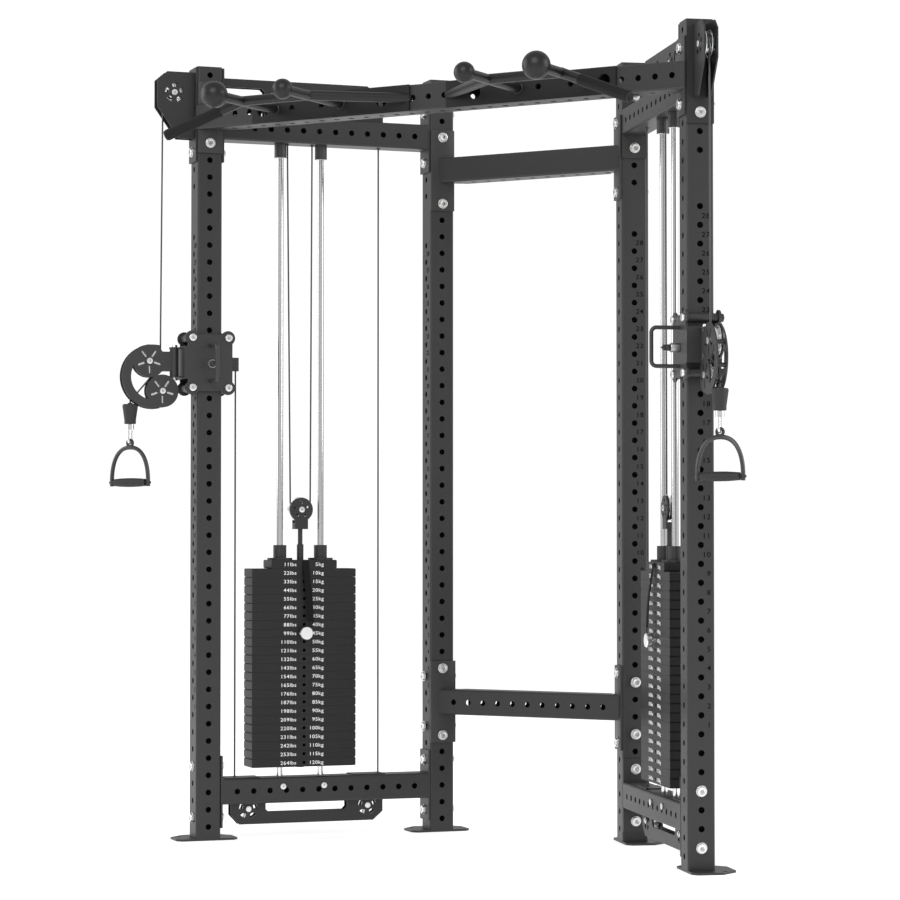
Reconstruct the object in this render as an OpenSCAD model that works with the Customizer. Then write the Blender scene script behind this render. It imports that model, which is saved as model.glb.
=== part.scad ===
// Corner power cage with two weight stacks, cable trolleys and pull-up bars.
// Millimetres, +Z up. The origin is on the floor, in the middle of the footprint's box.
// +X is to the right of somebody who stands at the back and faces the front bars along -Y.

/* [Layout] */
// Distance between the two rear uprights, centre to centre
rear_span = 652; // [560:1:900]
// Distance from a front upright to the rear upright beside it
panel_len = 725; // [700:1:900]
// Angle between a side panel and the rear panel's line
panel_angle = 50; // [40:1:70]
// Height of an upright above the floor
upright_h = 2265; // [2255:1:2275]

/* [Tubes] */
// Outside width of every square tube
tube_w = 75; // [70:1:80]
// Wall of every square tube
tube_wall = 3; // [2:0.5:5]
// Outside corner radius of the tubes
tube_r = 6; // [5.5:0.5:9]
// Distance between two holes of a row
hole_pitch = 50; // [50:1:52]
// Diameter of the rack holes
hole_d = 17; // [16.6:0.2:20]
// Height of the lowest hole in the inner and outer faces
first_hole = 40; // [38:1:42]
// Diameter of the large round holes in the front beam
beam_hole_d = 38; // [20:1:50]
// Thickness of flanges and mounting plates
plate_t = 6; // [4:0.5:8]
// Distance between the two bolts of a flange
flange_bolt_gap = 150; // [150:1:152]
// How far a flange reaches past its bolts
flange_end = 30; // [25:1:32]

/* [Base plates] */
// Length of a base plate along its panel
base_len = 184; // [150:1:220]
// Reach of a base plate towards the outside
base_out = 92; // [80:1:110]
// Thickness of a base plate
base_t = 6; // [5:0.5:10]
// Diameter of an anchor hole
anchor_d = 14; // [10:0.5:18]
// Distance between the two anchor holes of a base plate
anchor_gap = 130; // [120:1:140]
// Distance of the anchor holes from the upright's middle
anchor_out = 56; // [54:1:62]

/* [Weight stack] */
// Number of plates in a stack, the narrow top plate included
plate_count = 24; // [16:1:24]
// Plates that the selector pin lifts
lifted_count = 9; // [2:1:14]
// Distance from one plate to the next
plate_pitch = 25.4; // [24:0.1:26]
// Width of a stack plate
stack_w = 320; // [300:1:330]
// Depth of a stack plate
stack_d = 84; // [76:1:90]
// Chamfer at the ends of the plates
plate_chamfer = 2.5; // [1:0.5:4]
// Width of the top plate
top_plate_w = 202; // [200:1:240]
// Distance of the stack's middle from the front upright
stack_s = 290; // [288:1:300]
// Distance between the two guide rods
rod_gap = 126; // [120:1:130]
// Diameter of a guide rod
rod_d = 19; // [16:0.5:20]
// Free height between the stack and the lower crossmember
stack_lift = 30; // [20:1:40]
// Diameter of the stem that the selector pin enters
stem_d = 24; // [20:1:26]
// Diameter of the selector pin
selector_d = 9.5; // [8:0.5:10]

/* [Cable and pulleys] */
// Diameter of the cable
cable_d = 5; // [4:0.5:6]
// Radius from a small pulley's axis to the cable's middle
small_r = 31; // [28:0.5:32]
// Radius to the cable's middle on the two lower pulleys
large_r = 38; // [34:0.5:39]
// Radius to the cable's middle on the swivel arm's pulleys
arm_r = 36; // [32:0.5:37]
// How far a pulley's rim stands above the cable's middle
rim_rise = 6; // [4:0.5:7]
// Width of a pulley
pulley_w = 18; // [14:1:19]
// Diameter of a pulley's axle bolt
axle_d = 10; // [8:0.5:12]
// Space between the two plates that hold a pulley
cheek_gap = 22; // [21:1:26]
// Thickness of the plates that hold a pulley
cheek_t = 4; // [3:0.5:5]

/* [Trolley and arm] */
// Height of the trolley's pin above the floor
trolley_z = 1390; // [1300:50:1500]
// Distance between the trolley's bolts across the upright
trolley_bolt_x = 108; // [106:1:114]
// Distance between the trolley's bolts along the upright
trolley_bolt_z = 146; // [140:1:156]
// Radius of the lobe around a trolley bolt
lobe_r = 21; // [18:0.5:24]
// Diameter of the sleeves between the trolley's plates
sleeve_d = 24; // [20:0.5:24]
// Play between the glide and the upright
glide_play = 0.5; // [0.4:0.1:1]
// How far the pull handle stands out from the trolley's plate
pull_out = 82; // [60:1:100]
// Height of the pull handle
pull_h = 114; // [90:1:118]
// Diameter of the pull handle's bar
pull_d = 11; // [8:0.5:13]
// Outside radius of the swivel arm's ring
ring_r = 94; // [90:1:100]
// Inside radius of the swivel arm's ring
ring_hole_r = 67; // [60:1:72]
// Radius of the arm's plates around a pulley
eye_r = 48; // [45:1:50]

/* [Stirrup handle] */
// Width of the stirrup over its bar
stirrup_w = 142; // [130:1:150]
// Height from the hook to the grip's middle
stirrup_h = 115; // [110:1:120]
// Height of the arch's top above the grip's middle
arch_h = 102; // [96:1:104]
// Diameter of the stirrup's bar
stirrup_d = 12.7; // [10:0.1:14]
// Largest diameter of the turning grip
grip_d = 26; // [22:0.5:30]

/* [Pull-up bars] */
// Distance from the cage's middle to the large balls
big_ball_x = 508; // [480:1:530]
// Diameter of the large balls
big_ball_d = 80; // [60:1:90]
// Distance from the cage's middle to the small balls
small_ball_x = 287; // [260:1:310]
// Diameter of the small balls
small_ball_d = 57; // [50:1:64]
// How far the balls stand in front of the beam
ball_out = 318; // [260:1:360]
// Diameter of the steel bars
bar_d = 28; // [25:1:30]
// Diameter of the rubber grips
bar_grip_d = 34; // [32:1:38]
// Reach of the slanting outer bars sideways from the large balls
slant_side = 228; // [200:1:235]
// Reach of the slanting outer bars back towards the beam
slant_back = 109; // [90:1:115]
// Drop of the slanting outer bars
slant_drop = 86; // [60:1:95]

/* [Hidden] */
$fn = 40;

// Clearances
run_fit = 0.05;      // radial play of a shaft that turns or slides in its hole
bolt_fit = 0.5;      // radial play of a bolt in a rack hole
gap = 0.4;           // air between two pieces that pass each other
cut = 1;             // how far a cutter runs past the face that it opens

half = tube_w / 2;
face = half + plate_t;
side_hole = first_hole + hole_pitch / 2;   // lowest hole in the faces along the panel
hole_rows = floor((upright_h - first_hole) / hole_pitch);
bare_rows = [hole_rows - 9, hole_rows - 8]; // these two side holes are left out
low_member_z = side_hole + flange_bolt_gap / 2;
high_bolt_z = side_hole + (hole_rows - 5) * hole_pitch;
high_member_z = high_bolt_z + flange_bolt_gap / 2;
beam_bolt_z = first_hole + (hole_rows - 4) * hole_pitch;
beam_z = beam_bolt_z + flange_bolt_gap / 2;
rear_low_z = first_hole + 7 * hole_pitch;
rear_high_z = first_hole + (hole_rows - 5) * hole_pitch;
rear_bolt_gap = 4 * hole_pitch;
side_leg_gap = 3 * hole_pitch;
top_bolt_z = side_hole + (hole_rows - 1) * hole_pitch;

// Bolts of the frame
bolt_d = hole_d - 2 * bolt_fit;
bolt_head_d = 30;
bolt_head_h = 9;
nut_d = 27;
corner_gap = bolt_head_d + 1;          // the corner housing's plates stand beside the bolt heads

// World layout: the footprint's box is centred on the origin
function turn(p) = [p.x * cos(panel_angle) - p.y * sin(panel_angle),
                    p.x * sin(panel_angle) + p.y * cos(panel_angle)];
base_chamfer_in = 15;
base_chamfer_out = 47;
base_in = half + 0.5;
base_outline = [
    [-base_len / 2 + base_chamfer_in, -base_in], [base_len / 2 - base_chamfer_in, -base_in],
    [base_len / 2, -base_in + base_chamfer_in], [base_len / 2, base_out - base_chamfer_out],
    [base_len / 2 - base_chamfer_out, base_out], [-base_len / 2 + base_chamfer_out, base_out],
    [-base_len / 2, base_out - base_chamfer_out], [-base_len / 2, -base_in + base_chamfer_in]];
reach_back = max([for (p = base_outline) turn(p).y]);
beam_back = panel_len * sin(panel_angle) + half * cos(panel_angle);   // beam's middle
ball_back = beam_back + half + plate_t + ball_out;                    // balls' middle
reach_front = ball_back + big_ball_d / 2;
rear_y = (reach_front - reach_back) / 2;
front = [-rear_span / 2 - panel_len * cos(panel_angle), rear_y - panel_len * sin(panel_angle)];
beam_y = rear_y - beam_back;
rear_member_y = rear_y - half * cos(panel_angle);
inner_x = rear_span / 2 - half * sin(panel_angle);      // rear upright's inner face, middle
beam_half = inner_x + panel_len * cos(panel_angle);

// Stack
stack_z = low_member_z + half + stack_lift;
plate_h = plate_pitch - gap;
rods = [stack_s - rod_gap / 2, stack_s + rod_gap / 2];
rod_bore = rod_d / 2 + 3;
spacer_r = rod_bore + 3;
top_plate_z = stack_z + (plate_count - 1) * plate_pitch;
stem_top = top_plate_z + plate_h;
resting_count = plate_count - lifted_count;
selector_z = stack_z + (resting_count + 0.5) * plate_pitch;
bush_d = 39;
bush_h = 44;
bush_flange_d = 74;
bush_flange_t = 6;
collar_h = 42;
collar_d = 36;
fork_z = stem_top + 91;                // underside of the pulley fork's block
fork_block_h = 27;
fork_w = 40;
travel_z = fork_z + fork_block_h + small_r;
rod_top = high_member_z + 12;
rod_foot = low_member_z - 25;
rod_bolt_z = low_member_z + 11;
rod_bolt_d = 10;

// Pulleys that the frame holds, as [distance from the front upright, height]
groove_r = cable_d / 2 + gap;
top_cable_z = top_bolt_z + 3;
top_axle_z = top_cable_z - small_r;
corner_s = -half - plate_t - small_r - 28;
corner = [corner_s, top_axle_z];
entry = [stack_s - 41 - small_r, top_axle_z];
inner = [stack_s + 35 + small_r, top_axle_z];
low_rear = [496, low_member_z - half - small_r + 14.5];
outer = [low_rear.x + large_r - small_r, top_axle_z];
low_front = [127.5, low_rear.y];
travel = [stack_s, travel_z];
return_s = low_front.x - large_r;
stack_run_top = high_member_z - half - 52;
stack_run_end = travel_z + small_r + 4;

// Trolley, seen from the inside: s along the panel, y towards the outside
glide_t = (trolley_bolt_x - sleeve_d) / 2 - half - glide_play;
glide_out = half + glide_play + glide_t;
shell = glide_out + plate_t;           // outer surface of the trolley's plates
trolley_mid_z = trolley_z + 4;
web_s = -trolley_bolt_x / 2 - sleeve_d / 2 - 6;
web_t = 6;
hinge_s = web_s - web_t - 19;
hinge_top = trolley_mid_z + 41;
hinge_foot = trolley_mid_z - 38;
hinge_r = 12;
hinge_pin_r = 6;
lug_t = 4;
lug_r = 15;
lug_w = 24;
waist_s = 67;
tab_z = trolley_z + 3;
pin_r = 7.5;
pin_park = 8;                          // how far the pin is drawn out of its hole at rest
pin_tip = half + gap;
collar_len = 8;

// Swivel arm
upper = [hinge_s - 77, trolley_z + 8];
lower = [hinge_s - 38, trolley_z - 79];
ring = [hinge_s - 65, trolley_z - 38];
stop_s = hinge_s - 131;
stop_top = trolley_z - 118.5;
stop_h = 58;
stop_foot = stop_top - stop_h;
hook_h = 59;
hook_foot = stop_foot - hook_h;
hook_wire = 7;
stud_r = 4;
stud_l = 13;
eye_z = hook_foot + hook_wire / 2;
grip_z = eye_z - stirrup_h;

// ---------- Placing ----------

// Panel frame: s runs from the front upright to the rear one, y points outwards
module panel(side) {
    mirror([side > 0 ? 1 : 0, 0, 0])
        translate([front.x, front.y, 0])
            rotate([0, 0, panel_angle]) children();
}

module both_panels() {
    panel(-1) children();
    panel(1) children();
}

// A cylinder along the panel's y axis, from y0 to y1, at [s, z]
module across(at, r, y0, y1) {
    translate([at.x, y0, at.y]) rotate([-90, 0, 0]) cylinder(r = r, h = y1 - y0);
}

// A cylinder along the panel's s axis, from s0 to s1
module along(y, z, r, s0, s1) {
    translate([s0, y, z]) rotate([0, 90, 0]) cylinder(r = r, h = s1 - s0);
}

// A flat plate in the panel's plane, between y0 and y1
module sheet(y0, y1) {
    translate([0, y1, 0]) rotate([90, 0, 0]) linear_extrude(y1 - y0) children();
}

// ---------- Shared shapes ----------

module rounded_square(w, r) {
    square([w - 2 * r, w], center = true);
    square([w, w - 2 * r], center = true);
    for (x = [-1, 1], y = [-1, 1]) translate([x * (w / 2 - r), y * (w / 2 - r)]) circle(r);
}

module tube_section() {
    difference() {
        rounded_square(tube_w, tube_r);
        rounded_square(tube_w - 2 * tube_wall, tube_r - tube_wall);
    }
}

// A square tube along s, from s0 to s1, at height z
module tube_along(s0, s1, z) {
    translate([s0, 0, z]) rotate([90, 0, 90]) linear_extrude(s1 - s0) tube_section();
}

// Flange on a face that looks along s, with two bolt holes
module flange(s, z, bolt_gap, low = 0, high = 0) {
    difference() {
        translate([s, -half, z - bolt_gap / 2 - flange_end - low])
            cube([plate_t, tube_w, bolt_gap + 2 * flange_end + low + high]);
        for (k = [-1, 1]) along(0, z + k * bolt_gap / 2, hole_d / 2, s - cut, s + plate_t + cut);
    }
}

// Bolt through a tube: head at one end, nut at the other, along +X from 0
module frame_bolt(length) {
    rotate([0, 90, 0]) {
        translate([0, 0, -bolt_head_h]) cylinder(d = bolt_head_d, h = bolt_head_h);
        translate([0, 0, -cut]) cylinder(d = bolt_d, h = length + nut_d / 2 + cut);
        translate([0, 0, length]) cylinder(d = nut_d, h = nut_d / 2, $fn = 6);
    }
}

// Pulley with a round-bottomed groove and five windows, its axis along y
module pulley(at, r) {
    rim = r + rim_rise;
    floor_r = r - groove_r;
    hub_r = axle_d / 2 + 5;
    window_out = floor_r - 4;
    window_in = hub_r + 3;
    translate([at.x, 0, at.y]) rotate([90, 0, 0]) difference() {
        rotate_extrude() polygon([
            [axle_d / 2 + run_fit, -pulley_w / 2], [rim, -pulley_w / 2], [rim, -pulley_w / 2 + 2],
            [floor_r, -groove_r], [floor_r, groove_r], [rim, pulley_w / 2 - 2],
            [rim, pulley_w / 2], [axle_d / 2 + run_fit, pulley_w / 2]]);
        for (a = [0:72:288]) rotate([0, 0, a + 90]) window(window_in, window_out, pulley_w + 2);
    }
}

// Window between two radii with straight sides
module window(r0, r1, depth) {
    translate([0, 0, -depth / 2]) linear_extrude(depth)
        polygon([[r0, -r0 * 0.3], [r1, -r1 * 0.34], [r1, r1 * 0.34], [r0, r0 * 0.3]]);
}

// Five windows in the plates beside a pulley, to be subtracted
module windows_at(at, r0, r1, depth) {
    translate([at.x, 0, at.y]) rotate([90, 0, 0])
        for (a = [0:72:288]) rotate([0, 0, a + 90]) window(r0, r1, depth);
}

// Axle bolt of a pulley, with a flat round head, spacers beside the pulley and a nut
module axle_bolt(at, space = cheek_gap) {
    y = space / 2 + cheek_t;
    across(at, axle_d / 2, -y - cut, y + 8);
    across(at, 9, -y - 5, -y);
    for (m = [0, 1]) mirror([0, m, 0]) across(at, axle_d / 2 + 3, pulley_w / 2 + gap, space / 2);
    translate([at.x, y, at.y]) rotate([-90, 0, 0]) cylinder(d = 18, h = 8, $fn = 6);
}

// Tube swept along points [s, z] of the panel's mid plane
function step(p, i) = p[min(i + 1, len(p) - 1)] - p[max(i - 1, 0)];
function unit(v) = v / norm(v);
function ring_at(c, t, r, sides) =
    [for (k = [0:sides - 1]) let (a = 360 * k / sides)
        [c.x - t.y * r * cos(a), r * sin(a), c.y + t.x * r * cos(a)]];

module cable(route, r = cable_d / 2) {
    sides = 8;
    count = len(route);
    points = [for (i = [0:count - 1])
        each ring_at(route[i], unit(step(route, i)), r, sides)];
    walls = [for (i = [0:count - 2], k = [0:sides - 1]) let (n = (k + 1) % sides)
        [i * sides + k, (i + 1) * sides + k, (i + 1) * sides + n, i * sides + n]];
    caps = [[for (k = [0:sides - 1]) k],
            [for (k = [0:sides - 1]) count * sides - 1 - k]];
    polyhedron(points, concat(walls, caps));
}

// Points of an arc around c from angle a0 to a1
function arc(c, r, a0, a1, n = 6) =
    [for (i = [0:n]) let (a = a0 + (a1 - a0) * i / n) [c.x + r * cos(a), c.y + r * sin(a)]];

// ---------- Frame ----------

module upright() {
    color("#3a3b3d") {
        difference() {
            translate([0, 0, base_t]) linear_extrude(upright_h - base_t) tube_section();
            for (k = [0:hole_rows])
                across([0, first_hole + k * hole_pitch], hole_d / 2, -half - cut, half + cut);
            for (k = [0:hole_rows - 1])
                if (len(search(k, bare_rows)) == 0)
                    along(0, side_hole + k * hole_pitch, hole_d / 2, -half - cut, half + cut);
        }
        difference() {
            linear_extrude(base_t) polygon(base_outline);
            for (k = [-1, 1]) translate([k * anchor_gap / 2, anchor_out, -cut])
                cylinder(d = anchor_d, h = base_t + 2 * cut);
        }
    }
}

module front_uprights() { both_panels() upright(); }
module rear_uprights() { both_panels() translate([panel_len, 0, 0]) upright(); }

// Row of holes through the front and back walls of a member along s
module hole_row(places, z) {
    for (s = places) across([s, z], hole_d / 2, -half - cut, half + cut);
}

module panel_members() {
    slot_l = 2 * (large_r + rim_rise) + 2;
    inside = panel_len - 2 * face;
    mid = panel_len / 2;
    holes = [for (k = [-5:6]) mid + (k - 0.5) * hole_pitch];
    // lower crossmember with the cable's wear plates on top
    difference() {
        union() {
            tube_along(face, face + inside, low_member_z);
            flange(half, low_member_z, flange_bolt_gap);
            flange(panel_len - face, low_member_z, flange_bolt_gap);
            for (s = [low_front.x - 20, low_rear.x])
                translate([s - 51, -30, low_member_z + half]) cube([102, 60, 3]);
        }
        hole_row(holes, low_member_z);
        // the cable leaves through the top; the pulleys reach in through slots in the underside
        for (s = [return_s, low_rear.x + large_r])
            translate([s, 0, low_member_z]) cylinder(d = 16, h = half + 3 + cut);
        for (s = [low_front.x, low_rear.x])
            translate([s - slot_l / 2, -cheek_gap / 2, low_member_z - half - cut])
                cube([slot_l, cheek_gap, tube_wall + 2 * cut]);
        for (s = rods) {
            translate([s, 0, low_member_z]) cylinder(r = rod_d / 2 + run_fit, h = half + cut);
            across([s, rod_bolt_z], rod_bolt_d / 2 + 0.2, -half - cut, half + cut);
        }
    }
    // upper crossmember
    difference() {
        union() {
            tube_along(face, face + inside, high_member_z);
            flange(half, high_member_z, flange_bolt_gap);
            flange(panel_len - face, high_member_z, flange_bolt_gap);
        }
        hole_row(holes, high_member_z);
        for (s = [entry.x + small_r, inner.x - small_r, outer.x + small_r])
            translate([s, 0, high_member_z - half - cut]) cylinder(d = 16, h = tube_w + 2 * cut);
        for (s = rods) translate([s, 0, high_member_z - half - cut])
            cylinder(r = rod_d / 2 + run_fit, h = half);
    }
}

// Rear member between the rear uprights' inner faces, its flanges turned with the panels
module rear_member(z, front_holes, side_leg) {
    difference() {
        translate([-inner_x, rear_member_y, z]) rotate([90, 0, 90])
            linear_extrude(2 * inner_x) tube_section();
        for (side = [-1, 1]) panel(side)
            translate([panel_len - tube_w, -face, z - tube_w])
                cube([2 * tube_w, 2 * tube_w, 2 * tube_w]);
        for (k = [-5:5]) {
            if (front_holes)
                translate([k * hole_pitch, rear_member_y - half - cut, z]) rotate([-90, 0, 0])
                    cylinder(d = hole_d, h = tube_w + 2 * cut);
            if (!front_holes)
                translate([k * hole_pitch, rear_member_y, z - half - cut])
                    cylinder(d = hole_d, h = tube_w + 2 * cut);
        }
    }
    both_panels() {
        difference() {
            translate([panel_len - half, -face, z - rear_bolt_gap / 2 - 22])
                cube([tube_w, plate_t, rear_bolt_gap + 44]);
            for (k = [-1, 1])
                across([panel_len, z + k * rear_bolt_gap / 2], hole_d / 2, -face - cut, -half + cut);
        }
        if (side_leg) difference() {
            translate([panel_len - face, -face, z - side_leg_gap / 2 - 25])
                cube([plate_t, tube_w * 0.5 + face, side_leg_gap + 50]);
            for (k = [-1, 1])
                along(0, z + k * side_leg_gap / 2, hole_d / 2,
                      panel_len - face - cut, panel_len - half + cut);
        }
    }
}

module panel_crossmembers() {
    color("#3a3b3d") both_panels() panel_members();
}

module rear_crossmembers() {
    color("#3a3b3d") {
        rear_member(rear_low_z, true, true);
        rear_member(rear_high_z, false, false);
    }
}

// Ball, supports and bars of one pull-up unit, on the right half of the beam
ball_y = rear_y - ball_back;
mount_y = beam_y - half - plate_t;
big_ball = [big_ball_x, ball_y, beam_z + 2];
small_ball = [small_ball_x, ball_y + 12, beam_z + 2];
outer_tip = big_ball + [slant_side, slant_back, -slant_drop];
inner_tip = [78, mount_y, beam_z];
covered_holes = [2, 6, 10];            // holes of the beam that end under a bar's foot
mount_in = 55;
mount_out = 590;

module rod_between(a, b, d) {
    v = b - a;
    translate(a) rotate([0, acos(v.z / norm(v)), atan2(v.y, v.x)]) cylinder(d = d, h = norm(v));
}

module pull_up_unit() {
    difference() {
        translate([mount_in, mount_y, beam_z - half]) cube([mount_out - mount_in, plate_t, tube_w]);
        beam_holes(mount_y - cut, mount_y + plate_t + cut, covered_holes);
    }
    translate(big_ball) sphere(d = big_ball_d);
    translate(small_ball) rotate([90, 0, 0]) sphere(d = small_ball_d);
    for (b = [big_ball, small_ball]) rod_between(b, [b.x, mount_y + plate_t / 2, beam_z], bar_d);
    between = big_ball - small_ball;
    rod_between(small_ball + 0.1 * between, big_ball - 0.1 * between, bar_d);
    rod_between(big_ball, outer_tip, bar_d);
    intersection() {
        rod_between(small_ball, inner_tip + 0.1 * (inner_tip - small_ball), bar_d);
        translate([0, mount_y - 2 * ball_out, beam_z - tube_w])
            cube([big_ball_x, 2 * ball_out + plate_t / 2, 2 * tube_w]);
    }
}

// Holes of the front beam, four of them large; a list names those to leave out
module beam_holes(y0, y1, left_out = []) {
    for (k = [-14:14]) if (len(search(abs(k), left_out)) == 0) {
        big = abs(k) == 3 || abs(k) == 11;
        translate([k * hole_pitch, y0, beam_z]) rotate([-90, 0, 0])
            cylinder(d = big ? beam_hole_d : hole_d, h = y1 - y0);
    }
}

module front_beam() {
    color("#3a3b3d") {
        difference() {
            translate([-beam_half, beam_y, beam_z]) rotate([90, 0, 90])
                linear_extrude(2 * beam_half) tube_section();
            both_panels() translate([-2 * tube_w, -face, beam_z - tube_w])
                cube([4 * tube_w, 4 * tube_w, 2 * tube_w]);
            beam_holes(beam_y - half - cut, beam_y + half + cut);
            for (k = [-14:13]) translate([(k + 0.5) * hole_pitch, beam_y, beam_z - half - cut])
                cylinder(d = hole_d, h = tube_wall + 2 * cut);
        }
        both_panels() difference() {
            translate([-half, -face, beam_z - flange_bolt_gap / 2 - flange_end])
                cube([tube_w, plate_t, flange_bolt_gap + 2 * flange_end]);
            for (k = [-1, 1])
                across([0, beam_z + k * flange_bolt_gap / 2], hole_d / 2, -face - cut, -half + cut);
        }
    }
}

module pull_up_bars() {
    color("#3a3b3d") {
        pull_up_unit();
        mirror([1, 0, 0]) pull_up_unit();
    }
}

// Rubber sleeves over the bars, from share t0 to share t1 of the way from a to b
module bar_grip(a, b, t0, t1) {
    p = a + t0 * (b - a);
    q = a + t1 * (b - a);
    v = q - p;
    translate(p) rotate([0, acos(v.z / norm(v)), atan2(v.y, v.x)]) rotate_extrude() polygon([
        [bar_d / 2, 0], [bar_grip_d / 2, 0], [bar_grip_d / 2, norm(v)], [bar_d / 2, norm(v)]]);
}

module grip_cap(a, b) {
    v = b - a;
    translate(b) rotate([0, acos(v.z / norm(v)), atan2(v.y, v.x)]) {
        cylinder(d = bar_grip_d, h = 3);
    }
}

module pull_up_grips() {
    color("#1b1b1c") for (m = [0, 1]) mirror([m, 0, 0]) {
        bar_grip(big_ball, outer_tip, 0.25, 1);
        grip_cap(big_ball, outer_tip);
        bar_grip(small_ball, big_ball, 0.2, 0.76);
        bar_grip(small_ball, inner_tip, 0.17, 0.9);
    }
}

// ---------- Pulley housings ----------

// The two plates beside a row of pulleys
module cheeks(space = cheek_gap) {
    for (m = [0, 1]) mirror([0, m, 0]) sheet(space / 2, space / 2 + cheek_t) children();
}

module axle_hole(at) {
    across(at, axle_d / 2 + run_fit, -half, half);
}

module housings() {
    low_top = low_member_z - half;
    low_foot = low_rear.y - large_r - rim_rise - 1;
    slot_top = low_foot + 34;
    s0 = low_front.x - large_r - rim_rise - 9;
    s1 = low_rear.x + large_r + rim_rise + 4;
    bay0 = low_front.x + large_r + rim_rise + 9;
    bay1 = low_rear.x - large_r - rim_rise - 19;
    bay_r = 9;
    // lower housing, hung under the lower crossmember
    difference() {
        cheeks() polygon([
            [s0, low_top], [s0, low_foot + 28], [s0 + 26, low_foot], [s1 - 30, low_foot],
            [s1, low_foot + 26], [s1, low_top], [bay1, low_top], [bay1, slot_top + bay_r],
            [bay1 - bay_r, slot_top], [bay0 + bay_r, slot_top], [bay0, slot_top + bay_r],
            [bay0, low_top]]);
        for (at = [low_front, low_rear]) {
            axle_hole(at);
            windows_at(at, 16, 28, tube_w);
        }
    }
    for (s = [210, 400]) translate([s - 10, -cheek_gap / 2, low_foot]) cube([20, cheek_gap, 3]);
    // upper housing, on top of the upper crossmember
    high_foot = high_member_z + half;
    high_top = top_axle_z + small_r + rim_rise + 13;
    e1 = outer.x + small_r + rim_rise + 4;
    difference() {
        cheeks() polygon([
            [face, high_top], [face, high_top - 25], [165, high_top - 25], [174, high_top - 34],
            [174, high_foot], [e1, high_foot], [e1, high_top - 32], [e1 - 50, high_top]]);
        for (at = [entry, inner, outer]) {
            axle_hole(at);
            windows_at(at, 16, 28, tube_w);
        }
    }
    for (s = [200, 430]) translate([s - 10, -cheek_gap / 2, high_foot]) cube([20, cheek_gap, 5]);
    difference() {
        flange_foot = high_member_z + flange_bolt_gap / 2 + flange_end + gap;
        translate([half, -half, flange_foot]) cube([plate_t, tube_w, upright_h - flange_foot - 3]);
        along(0, top_bolt_z, hole_d / 2, half - cut, face + cut);
    }
    // corner housing, on the outer face of the front upright
    difference() {
        union() {
            translate([-face, -half, high_bolt_z - flange_end])
                cube([plate_t, tube_w, upright_h - 3 - high_bolt_z + flange_end]);
            cheeks(corner_gap) polygon([
                [-face, corner.y + 61], [corner.x - 22, corner.y + 61],
                [corner.x - 51, corner.y + 36], [corner.x - 51, corner.y - 43],
                [corner.x + 13, corner.y - 134], [-face, corner.y - 134]]);
        }
        for (z = [high_bolt_z, high_bolt_z + flange_bolt_gap, top_bolt_z])
            along(0, z, hole_d / 2, -face - cut, -half + cut);
        axle_hole(corner);
        windows_at(corner, 16, 28, tube_w);
    }
}

module pulley_housings() {
    color("#333436") both_panels() housings();
}

module frame_bolts() {
    through = tube_w + 2 * plate_t;
    color("#c9c9c6") both_panels() {
        for (z = [low_member_z - flange_bolt_gap / 2, low_member_z + flange_bolt_gap / 2]) {
            translate([-half, 0, z]) frame_bolt(tube_w + plate_t);
            translate([panel_len - face, 0, z]) frame_bolt(tube_w + plate_t);
        }
        for (z = [high_bolt_z, high_bolt_z + flange_bolt_gap]) {
            translate([-face, 0, z]) frame_bolt(through);
            translate([panel_len - face, 0, z]) frame_bolt(tube_w + plate_t);
        }
        for (k = [-1, 1]) {
            translate([0, -face, beam_z + k * flange_bolt_gap / 2])
                rotate([0, 0, 90]) frame_bolt(tube_w + plate_t);
            for (z = [rear_low_z, rear_high_z])
                translate([panel_len, -face, z + k * rear_bolt_gap / 2])
                    rotate([0, 0, 90]) frame_bolt(tube_w + plate_t);
            translate([panel_len - face, 0, rear_low_z + k * side_leg_gap / 2])
                frame_bolt(tube_w + plate_t);
        }
        for (s = rods) {
            across([s, rod_bolt_z], rod_bolt_d / 2, -half - cut, half + 8);
            across([s, rod_bolt_z], 10, -half - 6, -half);
            translate([s, half, rod_bolt_z]) rotate([-90, 0, 0]) cylinder(d = 18, h = 8, $fn = 6);
        }
        for (at = [entry, inner, outer, low_rear, low_front]) axle_bolt(at);
        axle_bolt(corner, corner_gap);
    }
}

module guide_rods() {
    color("#d7d9db") both_panels() for (s = rods) {
        difference() {
            translate([s, 0, rod_foot]) cylinder(d = rod_d, h = rod_top - rod_foot);
            across([s, rod_bolt_z], rod_bolt_d / 2 + 0.2, -half, half);
        }
        // spacer that carries the stack
        difference() {
            translate([s, 0, low_member_z + half]) cylinder(r = spacer_r, h = stack_lift - gap);
            translate([s, 0, low_member_z + half - cut])
                cylinder(r = rod_d / 2 + run_fit, h = stack_lift + 2 * cut);
        }
        // clamp collar under the upper crossmember
        difference() {
            translate([s, 0, high_member_z - half - collar_h]) cylinder(d = collar_d, h = collar_h);
            translate([s, 0, high_member_z - half - collar_h - cut])
                cylinder(r = rod_d / 2 + run_fit, h = collar_h + 2 * cut);
        }
    }
}

// ---------- Weight stack ----------

// Body of a plate with chamfered ends, its underside at height 0
module plate_blank(w) {
    c = plate_chamfer;
    sheet(-stack_d / 2, stack_d / 2) translate([stack_s, 0]) polygon([
        [-w / 2 + c, 0], [w / 2 - c, 0], [w / 2, c], [w / 2, plate_h - c],
        [w / 2 - c, plate_h], [-w / 2 + c, plate_h], [-w / 2, plate_h - c], [-w / 2, c]]);
}

module stack_plate(w) {
    difference() {
        plate_blank(w);
        for (s = rods) translate([s, 0, -cut]) cylinder(r = rod_bore, h = plate_pitch + cut);
        translate([stack_s, 0, -cut]) cylinder(d = stem_d + 4, h = plate_pitch + cut);
        across([stack_s, plate_h / 2], selector_d / 2 + run_fit, -stack_d / 2 - cut, stem_d / 2 + 6);
    }
}

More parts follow.
